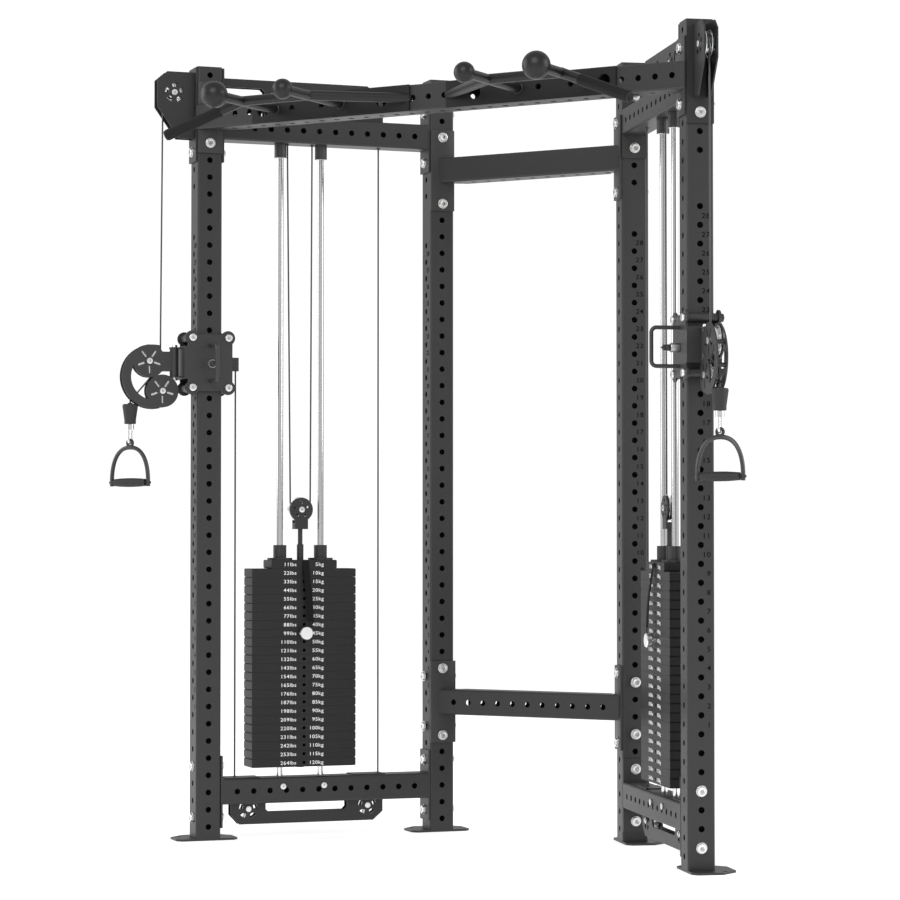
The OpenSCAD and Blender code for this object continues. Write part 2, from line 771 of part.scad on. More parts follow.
module resting_plates() {
    color("#2b2c2d") both_panels()
        for (k = [0:resting_count - 1])
            translate([0, 0, stack_z + k * plate_pitch]) stack_plate(stack_w);
}

module lifted_plates(side) {
    color("#2b2c2d") panel(side) {
        for (k = [resting_count:plate_count - 2])
            translate([0, 0, stack_z + k * plate_pitch]) stack_plate(stack_w);
        // narrow top plate, held to the stem
        translate([0, 0, top_plate_z]) difference() {
            plate_blank(top_plate_w);
            for (s = rods) translate([s, 0, -cut]) cylinder(r = rod_bore, h = plate_pitch + cut);
            translate([stack_s, 0, -cut]) cylinder(d = stem_d, h = plate_pitch + cut);
            across([stack_s, plate_h / 2], selector_d / 2 + run_fit, -stack_d / 2 - cut, stem_d / 2 + 6);
        }
    }
}

module carriage(side) {
    color("#2f3032") panel(side) {
        // stem through the plates, drilled for the pin at every plate
        difference() {
            union() {
                translate([stack_s, 0, stack_z - 4]) cylinder(d = stem_d, h = stem_top - stack_z + 4);
                translate([stack_s, 0, stem_top - cut]) cylinder(d = 20, h = 46 + cut);
                translate([stack_s, 0, stem_top]) cylinder(d = 14, h = fork_z - stem_top + cut);
            }
            for (k = [0:plate_count - 1])
                across([stack_s, stack_z + k * plate_pitch + plate_h / 2],
                       selector_d / 2 + run_fit, -stem_d, stem_d);
        }
        // fork that holds the travelling pulley
        translate([stack_s - fork_w / 2, -cheek_gap / 2 - cheek_t, fork_z])
            cube([fork_w, cheek_gap + 2 * cheek_t, fork_block_h - rim_rise - 2]);
        difference() {
            cheeks() union() {
                translate([travel.x, travel.y]) circle(r = small_r + 4);
                translate([stack_s - fork_w / 2, fork_z]) square([fork_w, small_r + 4]);
            }
            axle_hole(travel);
            for (a = [90:72:378]) across(travel + 21 * [cos(a), sin(a)], 4.5, -half, half);
        }
        axle_bolt(travel);
        // bushes on the guide rods
        for (s = rods) difference() {
            translate([s, 0, stem_top]) union() {
                cylinder(d = bush_flange_d, h = bush_flange_t);
                cylinder(d = bush_d, h = bush_h);
            }
            translate([s, 0, stem_top - cut]) cylinder(r = rod_d / 2 + 0.1, h = bush_h + 2 * cut);
        }
    }
}

module selector_pin(side) {
    color("#c9c9c6") panel(side) {
        across([stack_s, selector_z - gap / 2], selector_d / 2, -stack_d / 2 - 4, stem_d / 2 + 4);
        translate([stack_s, -stack_d / 2 - 0.5, selector_z - gap / 2]) rotate([90, 0, 0])
            rotate_extrude() polygon([
                [0, 0], [10, 0], [10, 6], [19, 9], [20, 12], [20, 24], [18, 27], [0, 27]]);
    }
}

// Strap from the top plate's front edge to the selector pin, in the plane in front of the stack
strap_y = -stack_d / 2 - 8;
strap_w = 9;
strap_route = [[stack_s + 8, stem_top - 4], [stack_s + 9, selector_z + 130],
               [stack_s + 7, selector_z + 60], [stack_s + 4, selector_z + 24]];

module pin_strap(side) {
    color("#1b1b1c") panel(side) {
        for (i = [0:len(strap_route) - 2]) hull() for (p = [strap_route[i], strap_route[i + 1]])
            across(p, strap_w / 2, strap_y - 2, strap_y, $fn = 12);
        across(strap_route[0], strap_w / 2, strap_y - cut, -stack_d / 2 - gap, $fn = 24);
    }
}

// ---------- Trolley ----------

module trolley_plate() {
    difference() {
        union() {
            translate([web_s, trolley_mid_z - 48]) square([waist_s - web_s, 96]);
            translate([-waist_s, trolley_mid_z - 58]) square([2 * waist_s, 116]);
            translate([-trolley_bolt_x / 2, trolley_mid_z - 83]) square([trolley_bolt_x, 166]);
            for (x = [-1, 1], z = [-1, 1])
                translate([x * trolley_bolt_x / 2, trolley_mid_z + z * trolley_bolt_z / 2]) circle(lobe_r);
        }
        for (x = [-1, 1], z = [-1, 1])
            translate([x * trolley_bolt_x / 2, trolley_mid_z + z * trolley_bolt_z / 2]) circle(d = 12.4);
    }
}

module trolley(side) {
    color("#2f3032") panel(side) {
        // inner plate, drilled for the pin, and outer plate
        difference() {
            sheet(-shell, -glide_out) trolley_plate();
            across([0, trolley_z], pin_r + 0.1, -shell - cut, -glide_out + cut);
        }
        sheet(glide_out, shell) trolley_plate();
        // web and lugs of the swivel hinge
        translate([web_s - web_t, -shell, trolley_mid_z - 48]) cube([web_t, 2 * shell, 96]);
        for (z = [hinge_top + gap, hinge_foot - gap - lug_t]) difference() {
            translate([0, 0, z]) linear_extrude(lug_t) union() {
                translate([hinge_s, 0]) circle(lug_r);
                translate([hinge_s, -lug_w / 2]) square([web_s - hinge_s - cut, lug_w]);
            }
            translate([hinge_s, 0, z - cut]) cylinder(r = hinge_pin_r, h = lug_t + 2 * cut);
        }
        // tab for the return cable
        difference() {
            translate([waist_s - cut, -8, tab_z - 20]) cube([return_s + 9 - waist_s, 16, 40]);
            translate([return_s, 0, tab_z - 20 - cut]) cylinder(d = cable_d + 2 * gap, h = 30);
        }
        translate([waist_s - 12, -glide_out - cut, tab_z - 12]) cube([12, glide_out - 6, 24]);
        translate([waist_s - 12, 7, tab_z - 12]) cube([12, glide_out - 6, 24]);
        // pull handle: a bar bent twice
        pull_handle();
    }
}

module pull_handle() {
    bend = 14;
    far = -shell - pull_out + pull_d / 2;
    top = (pull_h - pull_d) / 2;
    for (k = [-1, 1]) {
        across([0, trolley_z + 2 + k * top], pull_d / 2, far + bend, -glide_out - 1);
        translate([0, far + bend, trolley_z + 2 + k * (top - bend)]) rotate([0, 90, 0])
            rotate([0, 0, k > 0 ? 180 : 270])
                rotate_extrude(angle = 90) translate([bend, 0]) circle(d = pull_d);
    }
    translate([0, far, trolley_z + 2 - top + bend]) cylinder(d = pull_d, h = 2 * (top - bend));
}

module trolley_hardware(side) {
    head_h = 9;
    color("#c9c9c6") panel(side) {
        for (x = [-1, 1], z = [-1, 1]) {
            at = [x * trolley_bolt_x / 2, trolley_mid_z + z * trolley_bolt_z / 2];
            across(at, 6, -shell - cut, shell + 12);
            across(at, 11, -shell - head_h, -shell);
            translate([at.x, shell, at.y]) rotate([-90, 0, 0]) cylinder(d = 21, h = 10, $fn = 6);
            difference() {
                across(at, sleeve_d / 2, -glide_out, glide_out);
                across(at, 6.05, -glide_out - cut, glide_out + cut);
            }
        }
        // glide: a nylon sleeve around the upright
        difference() {
            translate([-glide_out, -glide_out, trolley_mid_z - 60])
                cube([2 * glide_out, 2 * glide_out, 120]);
            translate([0, 0, trolley_mid_z - 61]) linear_extrude(122)
                rounded_square(tube_w + 2 * glide_play, tube_r);
            across([0, trolley_z], pin_r + 0.1, -glide_out - cut, 0);
        }
        // collar that guides the pin
        difference() {
            across([0, trolley_z], 13, -shell - collar_len, -shell);
            across([0, trolley_z], pin_r + run_fit, -shell - collar_len - cut, -shell + cut);
        }
        // hinge pin with its head and nut
        translate([hinge_s, 0, hinge_foot - gap - lug_t - 6])
            cylinder(r = hinge_pin_r, h = hinge_top - hinge_foot + 2 * (gap + lug_t) + 12);
        translate([hinge_s, 0, hinge_top + gap + lug_t]) cylinder(r = 10, h = 7);
        translate([hinge_s, 0, hinge_foot - gap - lug_t - 8]) cylinder(r = 10, h = 8, $fn = 6);
    }
}

module pop_pin(side) {
    base = shell + collar_len + pin_park;
    color("#232425") panel(side) {
        across([0, trolley_z], pin_r, -base - cut, -pin_tip);
        translate([0, -base, trolley_z]) rotate([90, 0, 0]) rotate_extrude() polygon([
            [0, 0], [12, 0], [12, 14], [8, 16], [9, 18], [10, 22], [9, 28], [5, 30], [3, 34], [0, 34]]);
    }
}

// ---------- Swivel arm ----------

module arm_outline() {
    difference() {
        union() {
            difference() {
                translate(ring) circle(ring_r);
                translate(ring) circle(ring_hole_r);
                translate([ring.x + 18, ring.y - ring_r]) square([ring_r, 2 * ring_r]);
            }
            translate(upper) circle(eye_r);
            translate(lower) circle(eye_r);
            translate([upper.x, hinge_foot + 13]) square([hinge_s - 13 - upper.x, 57]);
        }
        translate(upper) circle(axle_d / 2 + run_fit);
        translate(lower) circle(axle_d / 2 + run_fit);
        for (at = [upper, lower], a = [-16:72:272]) translate(at) rotate(a)
            translate([14, -3]) square([22, 6]);
    }
}

module swivel_arm(side) {
    color("#2f3032") panel(side) {
        cheeks() arm_outline();
        // neck block and hinge barrel
        difference() {
            union() {
                translate([hinge_s - 30, -cheek_gap / 2, hinge_foot + 13]) cube([20, cheek_gap, 57]);
                translate([hinge_s, 0, hinge_foot]) cylinder(r = hinge_r + 1, h = hinge_top - hinge_foot);
                translate([hinge_s - 14, -hinge_r, hinge_foot + 13]) cube([10, 2 * hinge_r, 57]);
            }
            translate([hinge_s, 0, hinge_foot - cut])
                cylinder(r = hinge_pin_r + run_fit, h = hinge_top - hinge_foot + 2 * cut);
        }
        for (at = [upper, lower]) axle_bolt(at);
        // spacers that keep the two rings apart
        for (a = [150, 195, 262])
            across(ring + (ring_r + ring_hole_r) / 2 * [cos(a), sin(a)], 6, -cheek_gap / 2, cheek_gap / 2);
    }
}

// Stop that the arm catches: a tapered rubber cone with a swivel stud under it
module cable_stop(side) {
    color("#232425") panel(side) translate([stop_s, 0, stop_foot]) {
        rotate_extrude() polygon([
            [0, 0], [15, 0], [16.5, 2], [23, stop_h - 5], [21, stop_h - 1], [19, stop_h],
            [cable_d / 2 + 1.5, stop_h], [cable_d / 2 + 1.5, stop_h - 12], [0, stop_h - 12]]);
        // stud with a head, inside the hook's barrel
        translate([0, 0, -stud_l]) cylinder(r = stud_r, h = stud_l + cut);
        translate([0, 0, -stud_l]) cylinder(r = stud_r + 3, h = 4);
    }
}

// Snap hook in the plane across the handle's eye
module snap_hook(side) {
    w = 22;
    wire = hook_wire;
    top = stop_foot - stud_l - 4;
    color("#c9c9c6") at_handle(side) {
        difference() {
            translate([0, 0, top]) cylinder(r = 12, h = stud_l + 2.5);
            translate([0, 0, stop_foot - stud_l - gap]) cylinder(r = stud_r + 3 + gap, h = 4 + 2 * gap);
            translate([0, 0, stop_foot - stud_l]) cylinder(r = stud_r + run_fit, h = stud_l + cut);
        }
        for (k = [-1, 1]) translate([0, k * (w - wire) / 2, eye_z + (w - wire) / 2])
            cylinder(d = wire, h = top + 2 - eye_z - (w - wire) / 2);
        translate([0, 0, eye_z + (w - wire) / 2]) rotate([0, 90, 0]) rotate([0, 0, -90])
            rotate_extrude(angle = 180) translate([(w - wire) / 2, 0]) circle(d = wire);
    }
}

// The handle hangs from the stop with its grip along the cage's X axis
module at_handle(side) {
    panel(side) translate([stop_s, 0, 0]) rotate([0, 0, -panel_angle]) children();
}

module stirrup(side) {
    inner_w = stirrup_w - stirrup_d;
    crown = grip_z + arch_h;
    // arch of three arcs: two wide ones from the grip's ends meet a tighter one at the top
    top_r = 50;
    rise = arch_h - top_r;
    inset = inner_w / 2 - top_r;
    wide_r = (inset * inset + rise * rise) / (2 * inset) + top_r;
    meet = asin(rise / (wide_r - top_r));
    color("#232425") at_handle(side) {
        translate([0, 0, grip_z + rise]) rotate([90, 0, 0]) rotate([0, 0, meet])
            rotate_extrude(angle = 180 - 2 * meet) translate([top_r, 0]) circle(d = stirrup_d);
        for (m = [0, 1]) mirror([m, 0, 0])
            translate([inner_w / 2 - wide_r, 0, grip_z]) rotate([90, 0, 0])
                rotate_extrude(angle = meet) translate([wide_r, 0]) circle(d = stirrup_d);
        for (k = [-1, 1]) translate([k * inner_w / 2, 0, grip_z]) sphere(d = stirrup_d + 3);
        // axle of the grip
        translate([-inner_w / 2, 0, grip_z]) rotate([0, 90, 0]) cylinder(d = 8, h = inner_w);
        // eye for the hook
        difference() {
            translate([0, 2.5, 0]) rotate([90, 0, 0]) linear_extrude(5) union() {
                translate([0, eye_z]) circle(r = 13);
                translate([-13, crown - 4]) square([26, eye_z - crown + 4]);
            }
            translate([0, -4, eye_z]) rotate([-90, 0, 0]) cylinder(r = hook_wire / 2 + 2, h = 8);
        }
    }
}

module stirrup_grip(side) {
    half_l = stirrup_w / 2 - stirrup_d - 2;
    end_d = grip_d - 7;
    bore = 4 + run_fit;
    color("#1b1b1c") at_handle(side) translate([-half_l, 0, grip_z]) rotate([0, 90, 0])
        rotate_extrude() polygon([
            [bore, 0], [end_d / 2, 0], [end_d / 2 + 1, 3], [grip_d / 2 - 1.5, half_l * 0.5],
            [grip_d / 2, half_l], [grip_d / 2 - 1.5, half_l * 1.5], [end_d / 2 + 1, 2 * half_l - 3],
            [end_d / 2, 2 * half_l], [bore, 2 * half_l]]);
}

// ---------- Cables ----------

corner_run_end = corner.y - 75;
corner_s_out = corner.x - small_r;
arm_run_top = upper.y + 60;
return_run_foot = low_member_z + half + 25;
straight_end = 5;                      // upright end of a stretch that meets the next one
// straight stretch that leaves the upper arm pulley and meets the ring's edge
exit_angle = -41;
exit_point = upper + arm_r * [cos(exit_angle), sin(exit_angle)];
nose = [stop_s, stop_top + 14];

module fixed_cables() {
    color("#151515") both_panels() {
        cable(concat([[corner_s_out, corner_run_end]], arc(corner, small_r, 180, 90),
                     arc(entry, small_r, 90, 0), [[entry.x + small_r, stack_run_top]]));
        cable(concat([[inner.x - small_r, stack_run_top]], arc(inner, small_r, 180, 90),
                     arc(outer, small_r, 90, 0), arc(low_rear, large_r, 0, -90),
                     arc(low_front, large_r, -90, -180), [[return_s, return_run_foot]]));
    }
}

module stack_cable(side) {
    color("#151515") panel(side) cable(concat(
        [[entry.x + small_r, stack_run_top], [entry.x + small_r, stack_run_top - straight_end],
         [travel.x - small_r, stack_run_end]],
        arc(travel, small_r, 180, 360, 10),
        [[travel.x + small_r, stack_run_end], [inner.x - small_r, stack_run_top - straight_end],
         [inner.x - small_r, stack_run_top]]));
}

module trolley_cable(side) {
    color("#151515") panel(side) {
        cable([[corner_s_out, corner_run_end], [corner_s_out, corner_run_end - straight_end],
               [upper.x + arm_r, arm_run_top + straight_end], [upper.x + arm_r, arm_run_top]]);
        cable([[return_s, return_run_foot], [return_s, tab_z + 8]]);
    }
}

module arm_cable(side) {
    color("#151515") panel(side) cable(concat(
        [[upper.x + arm_r, arm_run_top]], arc(upper, arm_r, 0, exit_angle, 4),
        [nose + [12, 9], nose, [stop_s, stop_top - 8]]));
}

// ---------- Nodes ----------

front_uprights();
rear_uprights();
front_beam();
rear_crossmembers();
panel_crossmembers();
pull_up_bars();
pulley_housings();
frame_bolts();
guide_rods();
resting_plates();
pull_up_grips();
fixed_cables();
for (side = [-1, 1]) {
    name = side < 0 ? "left_" : "right_";
    lifted_plates(side);
    carriage(side);
    selector_pin(side);
    pin_strap(side);
    color("#b8babc") panel(side) pulley(travel, small_r);
    color("#b8babc") panel(side) pulley(corner, small_r);
    color("#b8babc") panel(side) pulley(entry, small_r);
    color("#b8babc") panel(side) pulley(inner, small_r);
    color("#b8babc") panel(side) pulley(outer, small_r);
    color("#b8babc") panel(side) pulley(low_rear, large_r);
    color("#b8babc") panel(side) pulley(low_front, large_r);
    trolley(side);
    trolley_hardware(side);
    pop_pin(side);
    swivel_arm(side);
    color("#b8babc") panel(side) pulley(upper, arm_r);
    color("#b8babc") panel(side) pulley(lower, arm_r);
    cable_stop(side);
    snap_hook(side);
    stirrup(side);
    stirrup_grip(side);
    stack_cable(side);
    trolley_cable(side);
    arm_cable(side);
}
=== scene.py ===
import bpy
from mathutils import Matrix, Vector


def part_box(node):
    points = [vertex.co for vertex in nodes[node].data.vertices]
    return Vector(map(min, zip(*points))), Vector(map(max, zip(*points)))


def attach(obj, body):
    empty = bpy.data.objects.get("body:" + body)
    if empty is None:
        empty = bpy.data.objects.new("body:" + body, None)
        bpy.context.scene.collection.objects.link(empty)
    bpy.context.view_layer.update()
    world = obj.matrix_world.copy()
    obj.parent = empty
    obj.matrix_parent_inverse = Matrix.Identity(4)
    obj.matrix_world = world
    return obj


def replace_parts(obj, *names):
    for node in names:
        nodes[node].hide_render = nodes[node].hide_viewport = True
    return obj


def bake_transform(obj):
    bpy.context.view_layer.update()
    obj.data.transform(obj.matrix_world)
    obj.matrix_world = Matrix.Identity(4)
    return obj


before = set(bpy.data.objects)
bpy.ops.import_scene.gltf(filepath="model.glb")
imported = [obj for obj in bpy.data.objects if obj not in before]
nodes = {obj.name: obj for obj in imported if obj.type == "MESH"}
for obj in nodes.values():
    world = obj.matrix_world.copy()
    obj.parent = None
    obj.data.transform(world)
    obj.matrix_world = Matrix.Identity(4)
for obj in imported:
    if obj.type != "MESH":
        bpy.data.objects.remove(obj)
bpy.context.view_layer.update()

from math import cos, pi, radians, sin, sqrt

import bmesh
import bpy
from mathutils import Matrix, Vector

scene = bpy.context.scene

# %% [markdown]
# # The camera
# A tall frame looks best from far away through a long lens, because its uprights then stay almost
# parallel. The camera stands about 8 metres off, slightly below the middle of the cage, and looks up
# by a degree and a half.

# %% The camera
camera_data = bpy.data.cameras.new("camera")
camera_data.lens = 114.69
camera_data.sensor_width = 36
camera_data.clip_end = 100
camera = bpy.data.objects.new("camera", camera_data)
camera.location = (4.012, -7.066, 0.901)
camera.rotation_euler = (radians(91.626), 0, radians(29.779))
scene.collection.objects.link(camera)
scene.camera = camera
print("camera at", [round(v, 2) for v in camera.location])

# %% [markdown]
# # Floor and light
# Black steel shows its shape only by what it reflects, so the light is a white room: a pale floor,
# a bright sky and large soft panels. The panels give the tubes' rounded edges a clear line of light.

# %% Floor and light
def plane_mesh(name, size):
    """A flat square on the floor, centred on the origin."""
    bm = bmesh.new()
    bmesh.ops.create_grid(bm, x_segments=1, y_segments=1, size=size / 2)
    mesh = bpy.data.meshes.new(name)
    bm.to_mesh(mesh)
    bm.free()
    return mesh


floor = bpy.data.objects.new("floor", plane_mesh("floor", 60))
floor.location.z = -0.0005
scene.collection.objects.link(floor)


def soft_panel(name, spot, size, power):
    """A square soft light that hangs at a spot and faces the middle of the cage."""
    data = bpy.data.lights.new(name, "AREA")
    data.size, data.energy = size, power
    lamp = bpy.data.objects.new(name, data)
    lamp.location = spot
    lamp.rotation_euler = (MIDDLE - Vector(spot)).to_track_quat("-Z", "Y").to_euler()
    scene.collection.objects.link(lamp)


MIDDLE = Vector((0, 0, 1.2))
soft_panel("key", (1.5, -5.5, 5.0), 4.0, 190)
soft_panel("left_fill", (-5.5, -2.0, 3.0), 4.0, 120)
soft_panel("right_fill", (5.0, 1.5, 3.0), 3.5, 120)
world = bpy.data.worlds.new("room")
scene.world = world
world.use_nodes = True
sky = world.node_tree.nodes["Background"]
sky.inputs["Color"].default_value = (1, 1, 1, 1)
sky.inputs["Strength"].default_value = 0.66
backdrop = world.node_tree.nodes.new("ShaderNodeBackground")
backdrop.inputs["Color"].default_value = (1, 1, 1, 1)
backdrop.inputs["Strength"].default_value = 1.05
seen = world.node_tree.nodes.new("ShaderNodeLightPath")
either = world.node_tree.nodes.new("ShaderNodeMixShader")
feeds = (seen.outputs["Is Camera Ray"], sky.outputs[0], backdrop.outputs[0])
for output, place in zip(feeds, either.inputs):
    world.node_tree.links.new(output, place)
world.node_tree.links.new(either.outputs[0], world.node_tree.nodes["World Output"].inputs[0])
scene.view_settings.view_transform = "Standard"
scene.view_settings.look = "None"
print("three soft panels and a white sky")

# %% [markdown]
# # Shader formulas
# A procedural finish is a small formula: noise times a strength, plus a base value. Adding every Math
# node by hand hides that, so one class wraps a socket and lets the usual signs add the nodes. A second
# class holds a material and makes any other node.

# %% Shader formulas
def plug(tree, place, item):
    """Links a socket to an output, or sets it to a plain value."""
    if isinstance(item, Value):
        tree.links.new(item.socket, place)
    else:
        place.default_value = item


class Value:
    """An output socket that can be used in sums."""

    def __init__(self, tree, socket):
        self.tree, self.socket = tree, socket

    def math(self, operation, *others):
        """Adds a Math node, with values or links for its sockets."""
        node = self.tree.nodes.new("ShaderNodeMath")
        node.operation = operation
        for place, item in zip(node.inputs, others):
            plug(self.tree, place, item)
        return Value(self.tree, node.outputs[0])

    def __add__(self, other):
        return self.math("ADD", self, other)

    def __mul__(self, other):
        return self.math("MULTIPLY", self, other)

    def __radd__(self, other):
        return self.math("ADD", other, self)

    def __rsub__(self, other):
        return self.math("SUBTRACT", other, self)

    def __rmul__(self, other):
        return self.math("MULTIPLY", other, self)

    def above(self, limit):
        """1 where the value is above the limit, else 0."""
        return self.math("GREATER_THAN", self, limit)

    def sine(self):
        return self.math("SINE", self)


class Finish:
    """A material with one Principled shader, and short ways to feed it."""

    def __init__(self, name, color, roughness, metallic=0.0, **fixed):
        self.material = bpy.data.materials.new(name)
        self.material.use_nodes = True
        self.tree = self.material.node_tree
        self.shader = self.tree.nodes["Principled BSDF"]
        self.color = color
        self.shader.inputs["Base Color"].default_value = (*color, 1)
        self.shader.inputs["Roughness"].default_value = roughness
        self.shader.inputs["Metallic"].default_value = metallic
        for key, value in fixed.items():
            self.shader.inputs[key.replace("_", " ")].default_value = value
        self.coords = self.node("ShaderNodeTexCoord", output="Object")

    def node(self, kind, settings=None, output=0, **sockets):
        """Adds a node: its settings first, then values or links for its sockets."""
        node = self.tree.nodes.new(kind)
        for key, value in (settings or {}).items():
            setattr(node, key, value)
        for key, item in sockets.items():
            place = node.inputs[int(key[1:]) if key[1:].isdigit() else key.replace("_", " ")]
            plug(self.tree, place, item)
        return Value(self.tree, node.outputs[output])

    def noise(self, scale, detail, stretch=None):
        """Noise from 0 to 1, on the piece's own coordinates."""
        place = self.coords
        if stretch:
            place = self.node("ShaderNodeMapping", Vector=place, Scale=stretch)
        return self.node("ShaderNodeTexNoise", Vector=place, Scale=scale, Detail=detail)

    def axis(self, name):
        """One coordinate, X, Y or Z, in metres."""
        return self.node("ShaderNodeSeparateXYZ", output=name, Vector=self.coords)

    def blend_color(self, factor, first, second):
        """A colour between two, by a factor from 0 to 1."""
        return self.node("ShaderNodeMix", {"data_type": "RGBA"}, output=2,
                         i0=factor, i6=first, i7=second)

    def feed(self, **sockets):
        """Links values that change over the surface to the shader."""
        for key, value in sockets.items():
            self.tree.links.new(value.socket, self.shader.inputs[key.replace("_", " ")])
        return self

    def bump(self, height, strength, distance):
        """Raises the surface by a value, by a distance in metres."""
        return self.feed(Normal=self.node("ShaderNodeBump", Height=height, Strength=strength,
                                          Distance=distance))

    def tint(self, factor, amount):
        """Varies the base colour by a share of itself."""
        dark = tuple(c * (1 - amount) for c in self.color) + (1,)
        light = tuple(min(1, c * (1 + amount)) for c in self.color) + (1,)
        return self.feed(Base_Color=self.blend_color(factor, dark, light))


print("shader helpers ready")

# %% [markdown]
# # Finishes
# Almost everything here is black, but not the same black: powder coat on steel has a fine orange peel
# and a soft gloss, cast plates are duller, rubber is duller still, and nylon cable is slick. The bright
# parts are zinc, chrome and turned aluminium. Each finish mixes two or three noises of different size,
# so that no surface is one flat colour.

# %% Painted steel
def powder_coat(name, color, roughness=0.42, shine=0.5):
    """Textured powder coat: a fine grain over a very slight, slow change of tone."""
    paint = Finish(name, color, roughness, Specular_IOR_Level=shine)
    grain = paint.noise(850, 2)
    cloud = paint.noise(5, 3)
    paint.tint(0.7 * cloud + 0.3 * grain, 0.16)
    paint.feed(Roughness=roughness - 0.07 + 0.1 * grain + 0.05 * cloud)
    return paint.bump(grain + 0.6 * paint.noise(260, 1), 0.22, 0.0004).material


frame_paint = powder_coat("frame_powder_coat", (0.017, 0.017, 0.018))
trolley_paint = powder_coat("trolley_powder_coat", (0.022, 0.022, 0.023), 0.4)
housing_paint = powder_coat("housing_powder_coat", (0.011, 0.011, 0.0115), 0.42)
bar_paint = powder_coat("bar_powder_coat", (0.008, 0.008, 0.0085), 0.36, 0.34)
print("painted steel:", [m.name for m in (frame_paint, trolley_paint, housing_paint, bar_paint)])

# %% Bright metal
def bright_metal(name, color, roughness, streaks):
    """Metal with fine lines from rolling, turning or plating, drawn out by the stretch."""
    metal = Finish(name, color, roughness, 1.0)
    line = metal.noise(60, 3, streaks)
    patch = metal.noise(40, 2)
    metal.tint(0.5 * line + 0.5 * patch, 0.07)
    metal.feed(Roughness=roughness - 0.05 + 0.06 * line + 0.06 * patch)
    return metal.bump(line, 0.1, 0.0001).material


zinc = bright_metal("bright_zinc", (0.78, 0.78, 0.77), 0.28, (8, 8, 8))
turned = bright_metal("turned_aluminium", (0.74, 0.75, 0.76), 0.24, (1, 1, 12))
worn_steel = bright_metal("worn_steel", (0.42, 0.42, 0.42), 0.36, (4, 4, 4))
polished = bright_metal("polished_pin_steel", (0.82, 0.82, 0.83), 0.14, (2, 2, 2))
print("bright metal:", [m.name for m in (zinc, turned, worn_steel, polished)])

# %% [markdown]
# The guide rods are chromed, but the same part also holds the black clamp collars under the top member.
# They differ only in height, so the finish switches from chrome to black plastic above one level.

# %% Chromed rods with black collars
COLLAR_FOOT = 2.0101
CHROME, COLLAR_BLACK = (0.66, 0.66, 0.67), (0.03, 0.03, 0.032)
rods = Finish("chromed_rods", CHROME, 0.1, 1.0)
collar = rods.axis("Z").above(COLLAR_FOOT)
streak = rods.noise(45, 2, (1, 1, 0.02))
rods.feed(Base_Color=rods.blend_color(collar, (*CHROME, 1), (*COLLAR_BLACK, 1)),
          Metallic=1 - collar, Roughness=0.1 + 0.03 * streak + 0.3 * collar)
chromed_rods = rods.material
print("chrome below", COLLAR_FOOT, "m, black above")

# %% Iron, rubber, plastic, nylon and print
def dull_black(name, color, roughness, grain, depth, tone=0.2, shine=0.5):
    """A matte finish with a grain of a given size and depth."""
    skin = Finish(name, color, roughness, Specular_IOR_Level=shine)
    fine, slow = skin.noise(grain, 3), skin.noise(18, 2)
    skin.tint(0.5 * fine + 0.5 * slow, tone)
    skin.feed(Roughness=roughness - 0.06 + 0.12 * fine)
    return skin.bump(fine, depth, 0.0005).material


plate_iron = dull_black("stack_plate_iron", (0.007, 0.007, 0.0075), 0.48, 420, 0.3, shine=0.36)
rubber = dull_black("moulded_rubber", (0.012, 0.012, 0.0125), 0.6, 600, 0.3)
plastic = dull_black("moulded_plastic", (0.022, 0.022, 0.023), 0.33, 900, 0.12)
nylon = dull_black("nylon_cable_jacket", (0.02, 0.02, 0.021), 0.32, 300, 0.1)
print_white = dull_black("printed_white", (0.78, 0.78, 0.77), 0.5, 900, 0.05, 0.04)
# Near-black finish for the hole numbers: painted shade where the tube's dark inside shows through the
# cut digits.
hole_numbers_painted_shade = dull_black("cut_edge_dark", (0.002, 0.002, 0.002), 0.9, 500, 0.1, shine=0.05)
print("black and white finishes ready")

# %% Knurling, floor and webbing
grip = Finish("knurled_grip", (0.006, 0.006, 0.0065), 0.6, Specular_IOR_Level=0.2)
cells = grip.node("ShaderNodeTexVoronoi", {"feature": "F1"}, Vector=grip.coords, Scale=420.0)
grip.tint(cells, 0.3)
grip.feed(Roughness=0.5 + 0.2 * grip.noise(300, 2))
knurled = grip.bump(cells, 0.5, 0.0006).material

pale = Finish("pale_floor", (0.86, 0.86, 0.86), 0.7, Emission_Color=(1, 1, 1, 1),
              Emission_Strength=0.48)
pale.tint(pale.noise(3, 2), 0.01)
floor.data.materials.append(pale.material)

THREADS = 2600
weave = Finish("strap_webbing", (0.006, 0.006, 0.0065), 0.8, Specular_IOR_Level=0.15)
across = (weave.axis("Z") * THREADS).sine()
along_weave = ((weave.axis("X") + weave.axis("Y")) * THREADS).sine()
threads = across * along_weave * 0.5 + 0.5
weave.tint(threads, 0.35)
webbing = weave.bump(threads, 0.5, 0.0004).material
print("patterned finishes:", [m.name for m in (knurled, webbing)])

# %% Finishes for the parts that keep their CAD shape
def finish_nodes(material, *names):
    """Gives CAD parts one finish."""
    for name in names:
        slots = nodes[name].data.materials
        slots.clear()
        slots.append(material)


def both(*names):
    """The names of the left and the right part."""
    return [side + name for side in ("left_", "right_") for name in names]


